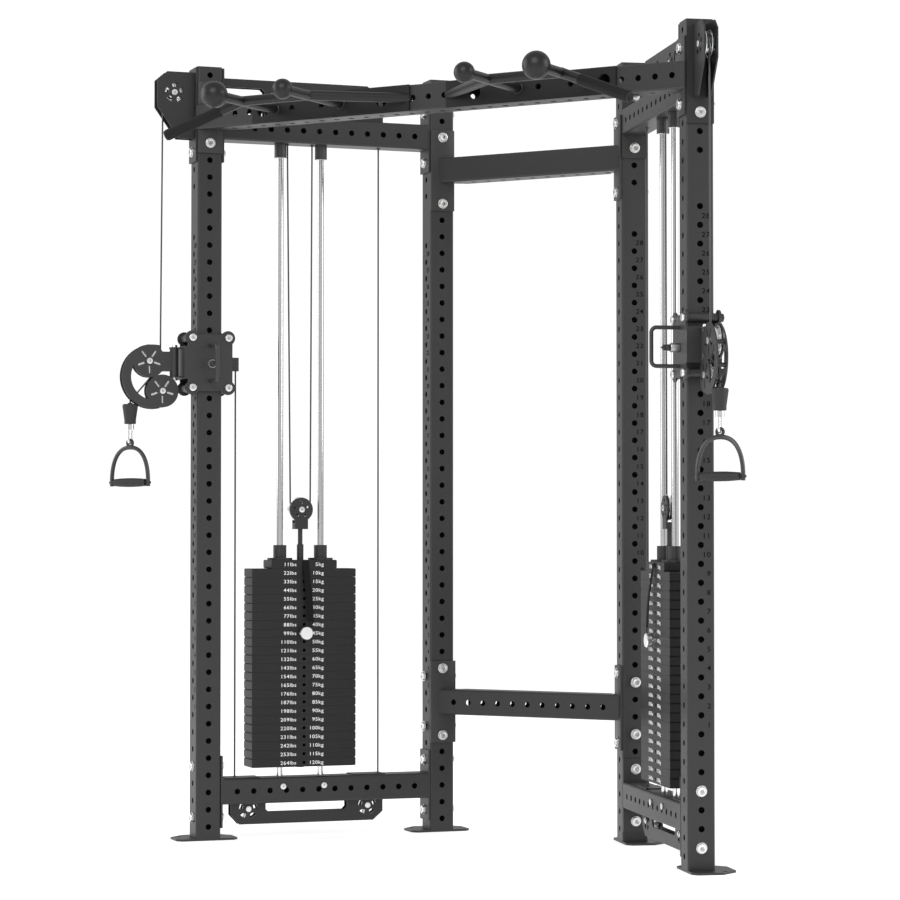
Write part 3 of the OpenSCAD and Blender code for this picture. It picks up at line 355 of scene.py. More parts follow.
finish_nodes(frame_paint, "front_uprights", "rear_uprights", "front_beam", "rear_crossmembers",
             "panel_crossmembers", "pull_up_bars")
finish_nodes(housing_paint, "pulley_housings", *both("carriage"))
finish_nodes(trolley_paint, *both("trolley", "swivel_arm"))
finish_nodes(chromed_rods, "guide_rods")
finish_nodes(zinc, "frame_bolts", *both("trolley_hardware"))
finish_nodes(plate_iron, "resting_plates", *both("lifted_plates"))
finish_nodes(turned, *both("travelling_pulley", "corner_pulley", "entry_pulley", "inner_pulley",
                           "outer_pulley", "low_rear_pulley", "low_front_pulley",
                           "upper_arm_pulley", "lower_arm_pulley"))
finish_nodes(polished, *both("selector_pin", "snap_hook"))
finish_nodes(plastic, *both("pop_pin", "stirrup"))
finish_nodes(rubber, "pull_up_grips", *both("cable_stop", "stirrup_grip"))
finish_nodes(nylon, "fixed_cables", *both("stack_cable", "trolley_cable", "arm_cable"))
finish_nodes(webbing, *both("pin_strap"))
print("every CAD part has a finish:", all(nodes[n].data.materials for n in nodes))

# %% [markdown]
# # Where the pieces go
# The two sides of the cage are flat panels, turned 50 degrees, and the right one mirrors the left. So a
# piece is made once, in the panel's own axes: X runs from the front upright to the rear one, Y points
# out of the cage, and Z is up. Two matrices then set it into the left and the right panel. The panel's
# place is read from the corner pulley, whose axle sits 102.5 mm in front of the upright's middle.
# Inside a panel all lengths are in millimetres, and a few of them are used again and again: half the
# width of a tube, the thickness of a plate, and the heights of the members.

# %% Panel axes and shared sizes
TURN = radians(50)
CORNER_AHEAD = 0.1025
low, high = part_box("left_corner_pulley")
FRONT = Vector(((low.x + high.x) / 2 + CORNER_AHEAD * cos(TURN),
                (low.y + high.y) / 2 + CORNER_AHEAD * sin(TURN), 0))
PANEL = Matrix.Translation(FRONT) @ Matrix.Rotation(TURN, 4, "Z")
MIRROR = Matrix.Scale(-1, 4, (1, 0, 0))
OUTWARD, INWARD = Matrix.Rotation(-pi / 2, 4, "X"), Matrix.Rotation(pi / 2, 4, "X")
AHEAD = Matrix.Rotation(pi / 2, 4, "Y")
HALF, PLATE = 37.5, 6
FACE = HALF + PLATE
REAR_S = 725
ROD_S = (227, 353)
PANEL_LOW, PANEL_HIGH = 140, 2090
BEAM_Z, REAR_LOW, REAR_HIGH = 2115, 390, 1990
SIDES = (("left_", PANEL), ("right_", MIRROR @ PANEL))
print("front upright's middle:", [round(v, 4) for v in FRONT])

# %% [markdown]
# # Turned shapes and their places
# Most small parts of the cage are turned on a lathe: bolt heads, sleeves, knobs and balls. One outline
# spun round Z makes each of them, and a blank made once is stamped wherever it is used. The outline
# could be a list of rings, but the spin operator closes the seam by itself.

# %% Lathe, stamp and piece
def blank(bm):
    """Turns a bmesh into a mesh that can be stamped."""
    mesh = bpy.data.meshes.new("blank")
    bm.to_mesh(mesh)
    bm.free()
    return mesh


def lathe(outline, steps=32):
    """A blank turned round Z from (radius, height) pairs in millimetres."""
    bm = bmesh.new()
    points = [bm.verts.new((r / 1000, 0, z / 1000)) for r, z in outline]
    edges = [bm.edges.new(two) for two in zip(points, points[1:])]
    bmesh.ops.spin(bm, geom=points + edges, cent=(0, 0, 0), axis=(0, 0, 1), angle=2 * pi,
                   steps=steps, use_merge=True)
    bmesh.ops.remove_doubles(bm, verts=bm.verts, dist=1e-6)
    bmesh.ops.recalc_face_normals(bm, faces=bm.faces)
    return blank(bm)


def at(x, y, z, turn=Matrix.Identity(4)):
    """A place in millimetres, with a turn."""
    return Matrix.Translation((x / 1000, y / 1000, z / 1000)) @ turn


def stamp(bm, mesh, *places):
    """Adds copies of a blank at the given places."""
    for place in places:
        copy = mesh.copy()
        copy.transform(place)
        bm.from_mesh(copy)
        bpy.data.meshes.remove(copy)
    return bm


SHARP = radians(35)


def piece(name, mesh, body, material):
    """A finished piece: its mesh, its finish, and the body that it rides on, or None for no body."""
    mesh.name = name
    mesh.materials.clear()
    mesh.materials.append(material)
    mesh.shade_smooth()
    mesh.set_sharp_from_angle(angle=SHARP)
    made = bpy.data.objects.new(name, mesh)
    scene.collection.objects.link(made)
    if body:
        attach(made, body)
    return made


def pair(name, bm, body, material):
    """The same piece in the left and the right panel."""
    mesh, made = blank(bm), []
    for side, place in SIDES:
        copy = mesh.copy()
        copy.transform(place)
        if side == "right_":
            copy.flip_normals()
        rides = body if body in (None, "frame") else side + body
        made.append(piece(side + name, copy, rides, material))
    return made


print("lathe, stamp and pair are ready")

# %% [markdown]
# # Bolts
# The frame is bolted with button-head screws on plain washers, and each ends in a hexagon nut. The head
# is turned, then a six-sided loop is bridged to its rim and pushed down to make the socket for the key.

# %% Bolt heads and nuts
def socket_head(outline, socket, depth):
    """A turned head whose last ring is joined to a hexagonal socket."""
    bm = bmesh.new()
    bm.from_mesh(lathe(outline, 24))
    top = outline[-1][1] / 1000
    rim = [e for e in bm.edges if e.is_boundary]
    corners = bmesh.ops.create_circle(bm, segments=6, radius=socket / 1000,
                                      matrix=Matrix.Translation((0, 0, top)))["verts"]
    hexagon = [e for e in bm.edges if e.verts[0] in corners and e.verts[1] in corners]
    bmesh.ops.bridge_loops(bm, edges=rim + hexagon)
    sunk = bmesh.ops.extrude_edge_only(bm, edges=hexagon)["geom"]
    floor_corners = [g for g in sunk if isinstance(g, bmesh.types.BMVert)]
    bmesh.ops.translate(bm, verts=floor_corners, vec=(0, 0, -depth / 1000))
    bmesh.ops.contextual_create(bm, geom=floor_corners)
    bmesh.ops.recalc_face_normals(bm, faces=bm.faces)
    return blank(bm)


WASHER = [(0, 0), (14.7, 0), (15, 0.3), (15, 2.1), (14.6, 2.5)]
frame_head = socket_head(WASHER + [(13, 2.5), (13.2, 2.8), (13.2, 7.4), (12.6, 8.3), (11.6, 8.6),
                                   (8, 8.7), (7.4, 8.5)], 5.5, 0.9)
small_head = socket_head([(0, 0), (8.8, 0), (9, 0.3), (9, 3.6), (8.2, 4.7), (6, 5)], 3.4, 2.6)
trolley_head = socket_head([(0, 0), (10.8, 0), (11, 0.4), (11, 7.2), (10.2, 8.6), (9, 9), (6, 9)],
                           4.2, 1.2)
nut_body = lathe([(0, 0), (13.5, 0), (13.5, 9.6), (12, 10.6), (8.6, 10.8), (0, 10.8)], 6)
bolt_end = lathe([(0, 0), (8, 0), (8, 12.8), (7.3, 13.5), (0, 13.5)], 24)
small_nut = lathe([(0, 0), (9, 0), (9, 6), (8, 7), (5.6, 7.2), (0, 7.2)], 6)
small_end = lathe([(0, 0), (5, 0), (5, 7.6), (4.5, 8), (0, 8)], 20)
print("heads and nuts:", [len(m.polygons) for m in (frame_head, small_head, nut_body, bolt_end)])

# %% [markdown]
# The places of the bolts follow the joints of the frame: two at each end of every member. A bolt's
# head sits on one side of the upright and its nut on the other, one tube and its plates away. The
# pulleys turn on smaller bolts that pass through the two plates of their housing.

# %% Bolts of the frame
BOLT_GAP, REAR_GAP = 75, 100


def either_side(middle, gap):
    """The heights of two bolts, one below and one above a member's middle."""
    return [middle - gap, middle + gap]


def bolt_sets():
    """All bolts of one panel: first those along it, then those across it."""
    bm = bmesh.new()
    low, high = either_side(PANEL_LOW, BOLT_GAP), either_side(PANEL_HIGH, BOLT_GAP)
    one_plate, two_plates = 2 * HALF + PLATE, 2 * HALF + 2 * PLATE
    along = [(-HALF, z, one_plate) for z in low]
    along += [(REAR_S - FACE, z, one_plate) for z in low + high]
    along += [(-FACE, z, two_plates) for z in high]
    along += [(REAR_S - FACE, z, two_plates) for z in either_side(REAR_LOW, BOLT_GAP)]
    for s, z, clamp in along:
        stamp(bm, frame_head, at(s, 0, z, AHEAD @ Matrix.Rotation(pi, 4, "X")))
        stamp(bm, nut_body, at(s + clamp, 0, z, AHEAD))
        stamp(bm, bolt_end, at(s + clamp, 0, z, AHEAD))
    across = [(0, z) for z in either_side(BEAM_Z, BOLT_GAP)]
    for middle in (REAR_LOW, REAR_HIGH):
        across += [(REAR_S, z) for z in either_side(middle, REAR_GAP)]
    for s, z in across:
        stamp(bm, frame_head, at(s, -FACE, z, INWARD))
        stamp(bm, nut_body, at(s, HALF, z, OUTWARD))
        stamp(bm, bolt_end, at(s, HALF, z, OUTWARD))
    return bm


for made in pair("frame_bolt_set", bolt_sets(), "frame", zinc):
    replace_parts(made, "frame_bolts")
print("bolts in each panel:", 16)

# %% Axles of the fixed pulleys
AXLES = {"corner": (-102.5, 2187, 19.5), "entry": (218, 2187, 15), "inner": (356, 2187, 15),
         "outer": (503, 2187, 15), "low_rear": (496, 86, 15), "low_front": (127.5, 86, 15)}
ROD_BOLT_Z = 151
axle_shaft = lathe([(0, -22), (5, -22), (5, 22), (0, 22)], 20)


def axle_sets():
    """The axle bolts of one panel's fixed pulleys, and the two bolts that hold its guide rods."""
    bm = bmesh.new()
    spots = list(AXLES.values()) + [(s, ROD_BOLT_Z, HALF) for s in ROD_S]
    for s, z, face in spots:
        stamp(bm, small_head, at(s, -face, z, INWARD))
        stamp(bm, small_nut, at(s, face, z, OUTWARD))
        stamp(bm, small_end, at(s, face, z, OUTWARD))
    for s, z, face in AXLES.values():
        stamp(bm, axle_shaft, at(s, 0, z, OUTWARD))
    return bm


pair("pulley_axle_set", axle_sets(), "frame", zinc)
print("pulley axles in each panel:", len(AXLES))

# %% [markdown]
# # Trolley hardware
# The trolley slides on the front upright. Its two plates are clamped over four black sleeves by bright
# bolts, a nylon block guides it, and the swivel arm turns on a hinge pin. The pop pin comes through the
# inner plate in a bare steel barrel, with a black knob on its end, so the knob rides on its own body.

# %% Trolley bolts, sleeves and hinge pin
TROLLEY_Z, HINGE_S, PLATE_OUT = 1390, -97, 48
corners = [(s, z) for s in (-54, 54) for z in either_side(TROLLEY_Z + 4, 73)]
sleeve = lathe([(6.2, -42), (12, -42), (12, 42), (6.2, 42), (6.2, -42)], 28)
outer_nut = lathe([(0, 0), (12.6, 0), (12.6, 1.8), (11.4, 2.2), (11.4, 9), (10, 10), (6, 10.4),
                   (5.4, 12), (0, 12)], 24)
shaft = lathe([(0, -49), (6, -49), (6, 49), (0, 49)], 20)
bolts, sleeves = bmesh.new(), bmesh.new()
for s, z in corners:
    stamp(bolts, trolley_head, at(s, -PLATE_OUT, z, INWARD))
    stamp(bolts, shaft, at(s, 0, z, OUTWARD))
    stamp(sleeves, sleeve, at(s, 0, z, OUTWARD))
    stamp(sleeves, outer_nut, at(s, PLATE_OUT, z, OUTWARD))
hinge = lathe([(0, 1342), (8, 1342), (10, 1343), (10, 1350), (6, 1350.5), (6, 1439.5), (10, 1440),
               (10, 1444.5), (9, 1446.5), (6, 1447), (0, 1447)])
stamp(bolts, hinge, at(HINGE_S, 0, 0))
for made in pair("trolley_bolts", bolts, "trolley", zinc):
    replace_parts(made, made.name.split("_")[0] + "_trolley_hardware")
pair("trolley_sleeves", sleeves, "trolley", trolley_paint)
print("bolts and sleeves on each trolley:", len(corners))

# %% Guide block
def square_loop(bm, side, radius, z):
    """A loop of edges in the shape of a square with rounded corners, all in metres."""
    turned_square = Matrix.Translation((0, 0, z)) @ Matrix.Rotation(pi / 4, 4, "Z")
    ring = bmesh.ops.create_circle(bm, segments=4, radius=side / sqrt(2),
                                   matrix=turned_square)["verts"]
    bmesh.ops.bevel(bm, geom=ring, offset=radius, segments=4, profile=0.5, material=-1,
                    affect="VERTICES")


def thicken(bm, height):
    """Raises flat faces into a solid, by a height in metres."""
    raised = bmesh.ops.extrude_face_region(bm, geom=bm.faces[:])["geom"]
    tops = [g for g in raised if isinstance(g, bmesh.types.BMVert)]
    bmesh.ops.translate(bm, verts=tops, vec=(0, 0, height))
    bmesh.ops.recalc_face_normals(bm, faces=bm.faces)


GUIDE_FOOT, GUIDE_H = 1.334, 0.12
guide = bmesh.new()
square_loop(guide, 0.084, 0.004, GUIDE_FOOT)
square_loop(guide, 0.0762, 0.006, GUIDE_FOOT)
bmesh.ops.bridge_loops(guide, edges=guide.edges[:])
thicken(guide, GUIDE_H)
pair("guide_block", guide, "trolley", plastic)
print("guide block", round(GUIDE_H * 1000), "mm high")

# %% Pop pin and its barrel
barrel = lathe([(9.2, -48), (12.4, -48), (12.8, -49), (12.8, -71), (12, -73), (9.6, -73),
                (9.2, -72.4), (9.2, -48)])
knob = lathe([(0, -38), (6, -38), (6, -73), (8.4, -73), (8.8, -74), (8.8, -83), (8, -85),
              (8.6, -87), (8.6, -91), (6.6, -93.5), (2.6, -94), (2.2, -98), (0, -98)])
holder, pull_knob = bmesh.new(), bmesh.new()
upside = Matrix.Scale(-1, 4, (0, 0, 1))
stamp(holder, barrel, at(0, 0, TROLLEY_Z, INWARD @ upside))
stamp(pull_knob, knob, at(0, 0, TROLLEY_Z, INWARD @ upside))
for shape in (holder, pull_knob):
    bmesh.ops.recalc_face_normals(shape, faces=shape.faces)
pair("pin_barrel", holder, "trolley", worn_steel)
for made in pair("pin_knob", pull_knob, "pop_pin", plastic):
    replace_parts(made, made.name.split("_")[0] + "_pop_pin")
print("pop pins in place")

# %% [markdown]
# # Bright axle heads on the arm and the stack's fork
# The arm's two pulleys and the pulley over the stack turn on bolts of bare zinc, while the plates round
# them are painted. The paint comes with the CAD part, so each bolt gets a thin bright cap over its head
# and its nut, a little larger than the solid under it.

# %% Axle heads that move
def axle_caps(*spots):
    """Bright heads and nuts, a little larger than the solid ones, at places of the panel's plane."""
    bm = bmesh.new()
    larger, largest = Matrix.Scale(1.06, 4), Matrix.Scale(1.12, 4)
    for s, z in spots:
        stamp(bm, small_head, at(s, -15, z, INWARD @ larger))
        stamp(bm, small_nut, at(s, 15, z, OUTWARD @ largest))
        stamp(bm, small_end, at(s, 15, z, OUTWARD @ largest))
    return bm


pair("arm_axles", axle_caps((-174, 1398), (-135, 1311)), "arm", zinc)
pair("fork_axle", axle_caps((290, 965.7)), "stack", zinc)
print("moving axle heads in place")

# %% [markdown]
# # Cables
# A nylon-coated cable runs from the arm over the corner pulley to the stack, round the travelling
# pulley and back by the lower pulleys to the trolley. It is taut everywhere, so its straight runs have
# a ring of vertices only at their two ends.

# %% Cable runs
def arc(center, radius, start, end, steps=12):
    """Points on an arc in the panel's plane, from one angle to another, in millimetres."""
    angles = [radians(start + (end - start) * k / steps) for k in range(steps + 1)]
    return [(center[0] + radius * cos(a), center[1] + radius * sin(a)) for a in angles]


def cable(points, radius=2.6):
    """A round cable through points (s, z) of the panel's middle plane."""
    curve = bpy.data.curves.new("line", "CURVE")
    curve.dimensions, curve.bevel_depth, curve.bevel_resolution = "3D", radius / 1000, 2
    curve.use_fill_caps = True
    spline = curve.splines.new("POLY")
    spline.points.add(len(points) - 1)
    for point, (s, z) in zip(spline.points, points):
        point.co = (s / 1000, 0, z / 1000, 1)
    line = bpy.data.objects.new("line", curve)
    mesh = bpy.data.meshes.new_from_object(line)
    bpy.data.objects.remove(line)
    bpy.data.curves.remove(curve)
    bm = bmesh.new()
    bm.from_mesh(mesh)
    bmesh.ops.remove_doubles(bm, verts=bm.verts, dist=1e-6)
    bmesh.ops.recalc_face_normals(bm, faces=bm.faces)
    return bm


def taut(name, top_end, low_end):
    """A straight run between two points, with its place baked into the mesh."""
    made = pair(name, cable([top_end, low_end]), None, nylon)
    for run, (side, place) in zip(made, SIDES):
        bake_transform(run)
    return made


print("cable helpers are ready")

# %% Route of the cable
top_route = ([(-133.5, 2112)] + arc((-102.5, 2187), 31, 180, 90) + arc((218, 2187), 31, 90, 0)
             + [(249, 2000.5)])
back_route = ([(325, 2000.5)] + arc((356, 2187), 31, 180, 90) + arc((503, 2187), 31, 90, 0)
              + arc((496, 86), 38, 0, -90) + arc((127.5, 86), 38, -90, -180) + [(89.5, 202.5)])
for made in (pair("top_cable", cable(top_route), "frame", nylon)
             + pair("back_cable", cable(back_route), "frame", nylon)):
    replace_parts(made, "fixed_cables")
loop = cable([(259, 1000.7)] + arc((290, 965.7), 31, 180, 360, 20) + [(321, 1000.7)])
for made in pair("stack_loop", loop, "stack", nylon):
    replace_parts(made, made.name.split("_")[0] + "_stack_cable")
taut("stack_run_in", (249, 2000.5), (259, 1000.7))
taut("stack_run_out", (325, 2000.5), (321, 1000.7))
for made in taut("return_run", (89.5, 202.5), (89.5, 1401)):
    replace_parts(made, made.name.split("_")[0] + "_trolley_cable")
taut("arm_run_high", (-133.5, 2112), (-136, 1750))
taut("arm_run_low", (-136, 1750), (-138, 1458))
nose = cable([(-138, 1458)] + arc((-174, 1398), 36, 0, -41) + [(-216, 1294.5), (-228, 1285.5)])
for made in pair("arm_bend", nose, "arm", nylon):
    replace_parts(made, made.name.split("_")[0] + "_arm_cable")
taut("handle_run", (-228, 1285.5), (-228, 1263.5))
print("cable pieces in each panel:", 9)

# %% [markdown]
# # Weight labels and hole numbers
# Each plate of the stack shows its weight in pounds and kilograms, and the uprights number their holes.
# The words are generic, so they can be real letters: text turned into a mesh and set a hair's breadth
# in front of the surface. A raised mesh keeps its edge sharp at any distance, which a painted mask
# would not. On the right panel the letters are turned back, so that the mirror doesn't reverse them.
# The hole numbers are cut through the uprights' walls, so they show the shade inside the tube; here
# they are near-black letters on the face, which is painted shade.

# %% Letters
CAPITAL, RELIEF = 0.73, 0.0003
BOLD, WIDE, SPACING, FONT_DEPTH = 0.004, 1.14, 1.12, 0.02


def letters(bm, words, height, right, up):
    """Adds words that end at `right`, with their middle at `up`, in millimetres."""
    curve = bpy.data.curves.new("words", "FONT")
    curve.body, curve.align_x, curve.align_y = words, "RIGHT", "BOTTOM_BASELINE"
    curve.offset, curve.extrude, curve.resolution_u = BOLD, FONT_DEPTH, 3
    curve.space_character = SPACING
    words_object = bpy.data.objects.new("words", curve)
    mesh = bpy.data.meshes.new_from_object(words_object)
    bpy.data.objects.remove(words_object)
    bpy.data.curves.remove(curve)
    scale = height / CAPITAL / 1000
    place = (at(right, 0, up - height / 2, INWARD)
             @ Matrix.Diagonal((scale * WIDE, scale, RELIEF / FONT_DEPTH, 1)))
    stamp(bm, mesh, place)
    bpy.data.meshes.remove(mesh)


def letter_pieces(name, bm, body, material, place):
    """Letters in viewer's axes (right, 0, up), set at a place of both panels."""
    mesh = blank(bm)
    for side, panel in SIDES:
        copy = mesh.copy()
        turned = Matrix.Scale(-1, 4, (1, 0, 0)) if side == "right_" else Matrix.Identity(4)
        copy.transform(panel @ place @ turned)
        piece(side + name, copy, body if body == "frame" else side + body, material)


print("letters", round(RELIEF * 1000, 1), "mm thick")

# %% Weights on the plates and numbers on the uprights
PLATE_STEP, PLATES, LIFTED, FIRST_MIDDLE = 25.4, 24, 9, 220
WEIGHT_H, POUNDS_RIGHT, KILOGRAMS_RIGHT = 10.8, -24, 60
HOLES, HOLE_STEP, NUMBER_H, NUMBER_RIGHT = 28, 50, 14, 27
resting, lifted = bmesh.new(), bmesh.new()
for row in range(1, PLATES + 1):
    plate_middle = FIRST_MIDDLE + PLATE_STEP * (PLATES - row)
    page = lifted if row <= LIFTED else resting
    letters(page, f"{11 * row}lbs", WEIGHT_H, POUNDS_RIGHT, plate_middle)
    letters(page, f"{5 * row}kg", WEIGHT_H, KILOGRAMS_RIGHT, plate_middle)
stack_face = at(290, -42.2, 0)
letter_pieces("resting_labels", resting, "frame", print_white, stack_face)
letter_pieces("lifted_labels", lifted, "stack", print_white, stack_face)
numbers = bmesh.new()
for hole in range(1, HOLES + 1):
    letters(numbers, str(hole), NUMBER_H, NUMBER_RIGHT, 340 + HOLE_STEP * hole)
toward_front = Matrix.Rotation(-pi / 2, 4, "Z")
# The hole numbers are near-black letters: painted shade in place of digits cut through the wall.
letter_pieces("front_numbers", numbers.copy(), "frame", hole_numbers_painted_shade,
              at(-HALF - 0.1, 0, 0, toward_front))
letter_pieces("rear_numbers", numbers, "frame", hole_numbers_painted_shade,
              at(REAR_S - HALF - 0.1, 0, 0, toward_front))
print("labelled plates:", PLATES, "and numbered holes:", HOLES)

# %% [markdown]
# # Strap of the selector pin
# A flat webbing strap keeps the pin with the stack. It starts at the front of the top plate, hangs in
# front of the others, and ends in a thin cord loop round the pin's knob. The strap is a thin strip with
# rounded edges, bent by moving the cuts along it.

# %% Strap
STRAP_W, STRAP_T, STRAP_L = 0.019, 0.0018, 0.178
STRAP_S, STRAP_Y, STRAP_TOP = 0.294, -0.0445, 0.8135
SIDE_SHIFT, BULGE, LEAN = 0.010, 0.004, 0.0165
strap = bmesh.new()
bmesh.ops.create_cube(strap, size=1, matrix=Matrix.Diagonal((STRAP_W, STRAP_T, STRAP_L, 1)))
upright_edges = [e for e in strap.edges if abs(e.verts[0].co.z - e.verts[1].co.z) > STRAP_L / 2]
bmesh.ops.subdivide_edges(strap, edges=upright_edges, cuts=24, use_grid_fill=True)
bmesh.ops.bevel(strap, geom=[e for e in strap.edges if e.is_manifold and e.calc_face_angle() > 1],
                offset=0.0005, segments=2, profile=0.5, material=-1, affect="EDGES")
for corner in strap.verts:
    t = 0.5 - corner.co.z / STRAP_L
    corner.co.x += STRAP_S + SIDE_SHIFT * t * t * (3 - 2 * t)
    corner.co.y += STRAP_Y - BULGE * sin(pi * t) - LEAN * t
    corner.co.z += STRAP_TOP - STRAP_L / 2
bmesh.ops.recalc_face_normals(strap, faces=strap.faces)
print("strap", STRAP_L, "m long")

# %% Loop round the knob
cord = bpy.data.curves.new("line", "CURVE")
cord.dimensions, cord.bevel_depth, cord.bevel_resolution = "3D", 0.0011, 2
thread = cord.splines.new("BEZIER")
thread.bezier_points.add(3)
for knot, place in zip(thread.bezier_points, [(0.3035, -0.0615, 0.640), (0.2985, -0.0625, 0.622),
                                              (0.292, -0.0600, 0.610), (0.3065, -0.0612, 0.620)]):
    knot.co, knot.handle_left_type, knot.handle_right_type = place, "AUTO", "AUTO"
thread.use_cyclic_u = True
cord_object = bpy.data.objects.new("line", cord)
loop_mesh = bpy.data.meshes.new_from_object(cord_object)
bpy.data.objects.remove(cord_object)
bpy.data.curves.remove(cord)
stamp(strap, loop_mesh, Matrix.Identity(4))
bmesh.ops.remove_doubles(strap, verts=strap.verts, dist=1e-6)
bmesh.ops.recalc_face_normals(strap, faces=strap.faces)
for made, (side, panel) in zip(pair("pin_webbing", strap, None, webbing), SIDES):
    side + "stack"
    side + "selector"
    panel @ Vector((0.29, -0.045, 0.79))
    panel @ Vector((0.30, -0.045, 0.63))
    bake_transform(made)
    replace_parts(made, side + "pin_strap")
print("strap and loop on both stacks")

# %% [markdown]
# # Guide rods
# Each stack slides on two chromed rods. A rod is one plain turned length, with a black clamp collar
# under the upper member. Below the stack the rods are bare, so the gap there shows them.

# %% Guide rods and collars
ROD_R, ROD_FOOT, COLLAR_R, COLLAR_H = 9.5, 160, 18, 42
foot = COLLAR_FOOT * 1000
rod_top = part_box("guide_rods")[1].z * 1000
rod_outline = [(0, ROD_FOOT), (ROD_R, ROD_FOOT), (ROD_R, foot), (COLLAR_R - 1, foot),
               (COLLAR_R, foot + 1), (COLLAR_R, foot + COLLAR_H), (ROD_R, foot + COLLAR_H),
               (ROD_R, rod_top), (0, rod_top)]
stack_rods = stamp(bmesh.new(), lathe(rod_outline, 40), *[at(s, 0, 0) for s in ROD_S])
for made in pair("stack_rod", stack_rods, "frame", chromed_rods):
    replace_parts(made, "guide_rods")
print("guide rods:", 4)

# %% [markdown]
# # Pull-up bars
# Each side has four kinds of grip in front of the beam: a large and a small ball, a bar across their
# two supports, a bar that slants out and down with a knurled sleeve, and one that runs in to the
# middle. The bars are plain round tube, so each is one cone with equal ends, laid between two points.
# The balls are turned from half a circle, and smaller ones close the corners where bars are welded.

# %% Bars, plates and balls
BAR_D = 28


def between(a, b):
    """The turn and place that lay Z from one point to another, and the distance, in metres."""
    a, b = Vector(a) / 1000, Vector(b) / 1000
    turn = (b - a).to_track_quat("Z", "Y").to_matrix().to_4x4()
    return Matrix.Translation(a) @ turn, (b - a).length


def bar(bm, a, b, diameter=BAR_D):
    """A round bar from one point to another, in millimetres."""
    place, length = between(a, b)
    bmesh.ops.create_cone(bm, cap_ends=True, segments=36, radius1=diameter / 2000,
                          radius2=diameter / 2000, depth=length,
                          matrix=place @ Matrix.Translation((0, 0, length / 2)))


def drilled_plate(bm, x0, x1, holes, height, thick, place):
    """A plate along X with round holes (x, diameter) on its middle line, in millimetres."""
    plate = bmesh.new()
    cuts = [x0] + [(a[0] + b[0]) / 2 for a, b in zip(holes, holes[1:])] + [x1]
    for left, right, (x, diameter) in zip(cuts, cuts[1:], holes):
        field = (at((left + right) / 2, 0, 0)
                 @ Matrix.Diagonal(((right - left) / 1000, height / 1000, 1, 1)))
        square = bmesh.ops.create_grid(plate, x_segments=1, y_segments=1, size=0.5, matrix=field)
        face = square["verts"][0].link_faces[0]
        sides = face.edges[:]
        bmesh.ops.delete(plate, geom=[face], context="FACES_ONLY")
        ring = bmesh.ops.create_circle(plate, segments=28, radius=diameter / 2000,
                                       matrix=at(x, 0, 0))["verts"]
        hole = list({e for v in ring for e in v.link_edges})
        bmesh.ops.bridge_loops(plate, edges=sides + hole)
    bmesh.ops.remove_doubles(plate, verts=plate.verts, dist=1e-6)
    thicken(plate, thick / 1000)
    stamp(bm, blank(plate), place)


def ball(radius):
    """A blank ball, turned from half a circle."""
    return lathe(arc((0, 0), radius, -90, 90, 28), 48)


def both_halves(name, bm, material):
    """A piece and its mirror image in one mesh, riding on the frame."""
    half = blank(bm)
    whole = bmesh.new()
    whole.from_mesh(half)
    other = half.copy()
    other.transform(MIRROR)
    other.flip_normals()
    whole.from_mesh(other)
    return piece(name, blank(whole), "frame", material)


print("bars of", BAR_D, "mm and drilled plates can be laid")

# %% Pull-up unit
BIG_X, SMALL_X, BIG_R, SMALL_R, WELD_R = 508, 287, 38, 28.5, 14.4
BIG_HOLE, HOLE = 38, 17
bar_z = BEAM_Z + 2
ball_y = FRONT.y * 1000 - 374.6
joint_y = ball_y + 141
mount_y = FRONT.y * 1000 - 67.6
big_ball, small_ball = (BIG_X, ball_y, bar_z), (SMALL_X, ball_y + 9, bar_z)
outer_joint, inner_joint = (BIG_X, joint_y, bar_z), (SMALL_X, joint_y, bar_z)
outer_tip = (BIG_X + 228, joint_y - 51, bar_z - 89)
inner_tip = Vector((76, mount_y, BEAM_Z))
inner_end = inner_tip + 0.04 * (inner_tip - Vector(inner_joint))
unit = bmesh.new()
bar(unit, big_ball, (BIG_X, mount_y + 3, BEAM_Z))
bar(unit, small_ball, (SMALL_X, mount_y + 3, BEAM_Z))
bar(unit, inner_joint, outer_joint)
bar(unit, outer_joint, outer_tip)
bar(unit, inner_joint, inner_end)
stamp(unit, ball(BIG_R), at(*big_ball))
stamp(unit, ball(SMALL_R), at(*small_ball))
stamp(unit, ball(WELD_R), at(*outer_joint), at(*inner_joint))
stamp(unit, ball(BAR_D / 2), at(*inner_end))
bead = lathe([(14.2, -2.6), (16.2, -1.6), (17, 0), (16.2, 1.6), (14.2, 2.6)], 36)
stamp(unit, bead, *[at(x, mount_y - 1, BEAM_Z, INWARD) for x in (BIG_X, SMALL_X)])
plate_holes = [(150, BIG_HOLE), (350, HOLE), (450, HOLE), (550, BIG_HOLE)]
mount = at(0, mount_y + PLATE, BEAM_Z, INWARD)
drilled_plate(unit, 59.5, 586, plate_holes, 2 * HALF, PLATE, mount)
print("bars and balls on each side:", 5, "and", 2)

# %% Knurled sleeves
GRIP_R, DOME = 16, 9
place, length = between(outer_joint, outer_tip)
grip_start = 0.28 * length * 1000
grip_end = length * 1000 + 3
sleeve_outline = [(GRIP_R - 2, grip_start), (GRIP_R - 1, grip_start), (GRIP_R, grip_start + 1),
                  (GRIP_R, grip_end - DOME)]
sleeve_outline += [(GRIP_R * cos(pi * k / 16), grip_end - DOME + DOME * sin(pi * k / 16))
                   for k in range(1, 9)]
grips = stamp(bmesh.new(), lathe(sleeve_outline, 48), place)
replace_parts(both_halves("pull_up_frame", unit, bar_paint), "pull_up_bars")
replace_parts(both_halves("knurled_sleeves", grips, knurled), "pull_up_grips")
print("sleeves", round(grip_end - grip_start), "mm long")

# %% [markdown]
# # Grips of the stirrups
# A stirrup's grip is a rubber sleeve that swells a little in the middle and has rings cut round it, so
# that a sweaty hand doesn't slip. It is turned from one outline, in which a small wave is added to the
# swell. The rings are geometry, because they show on the grip's outline as well.

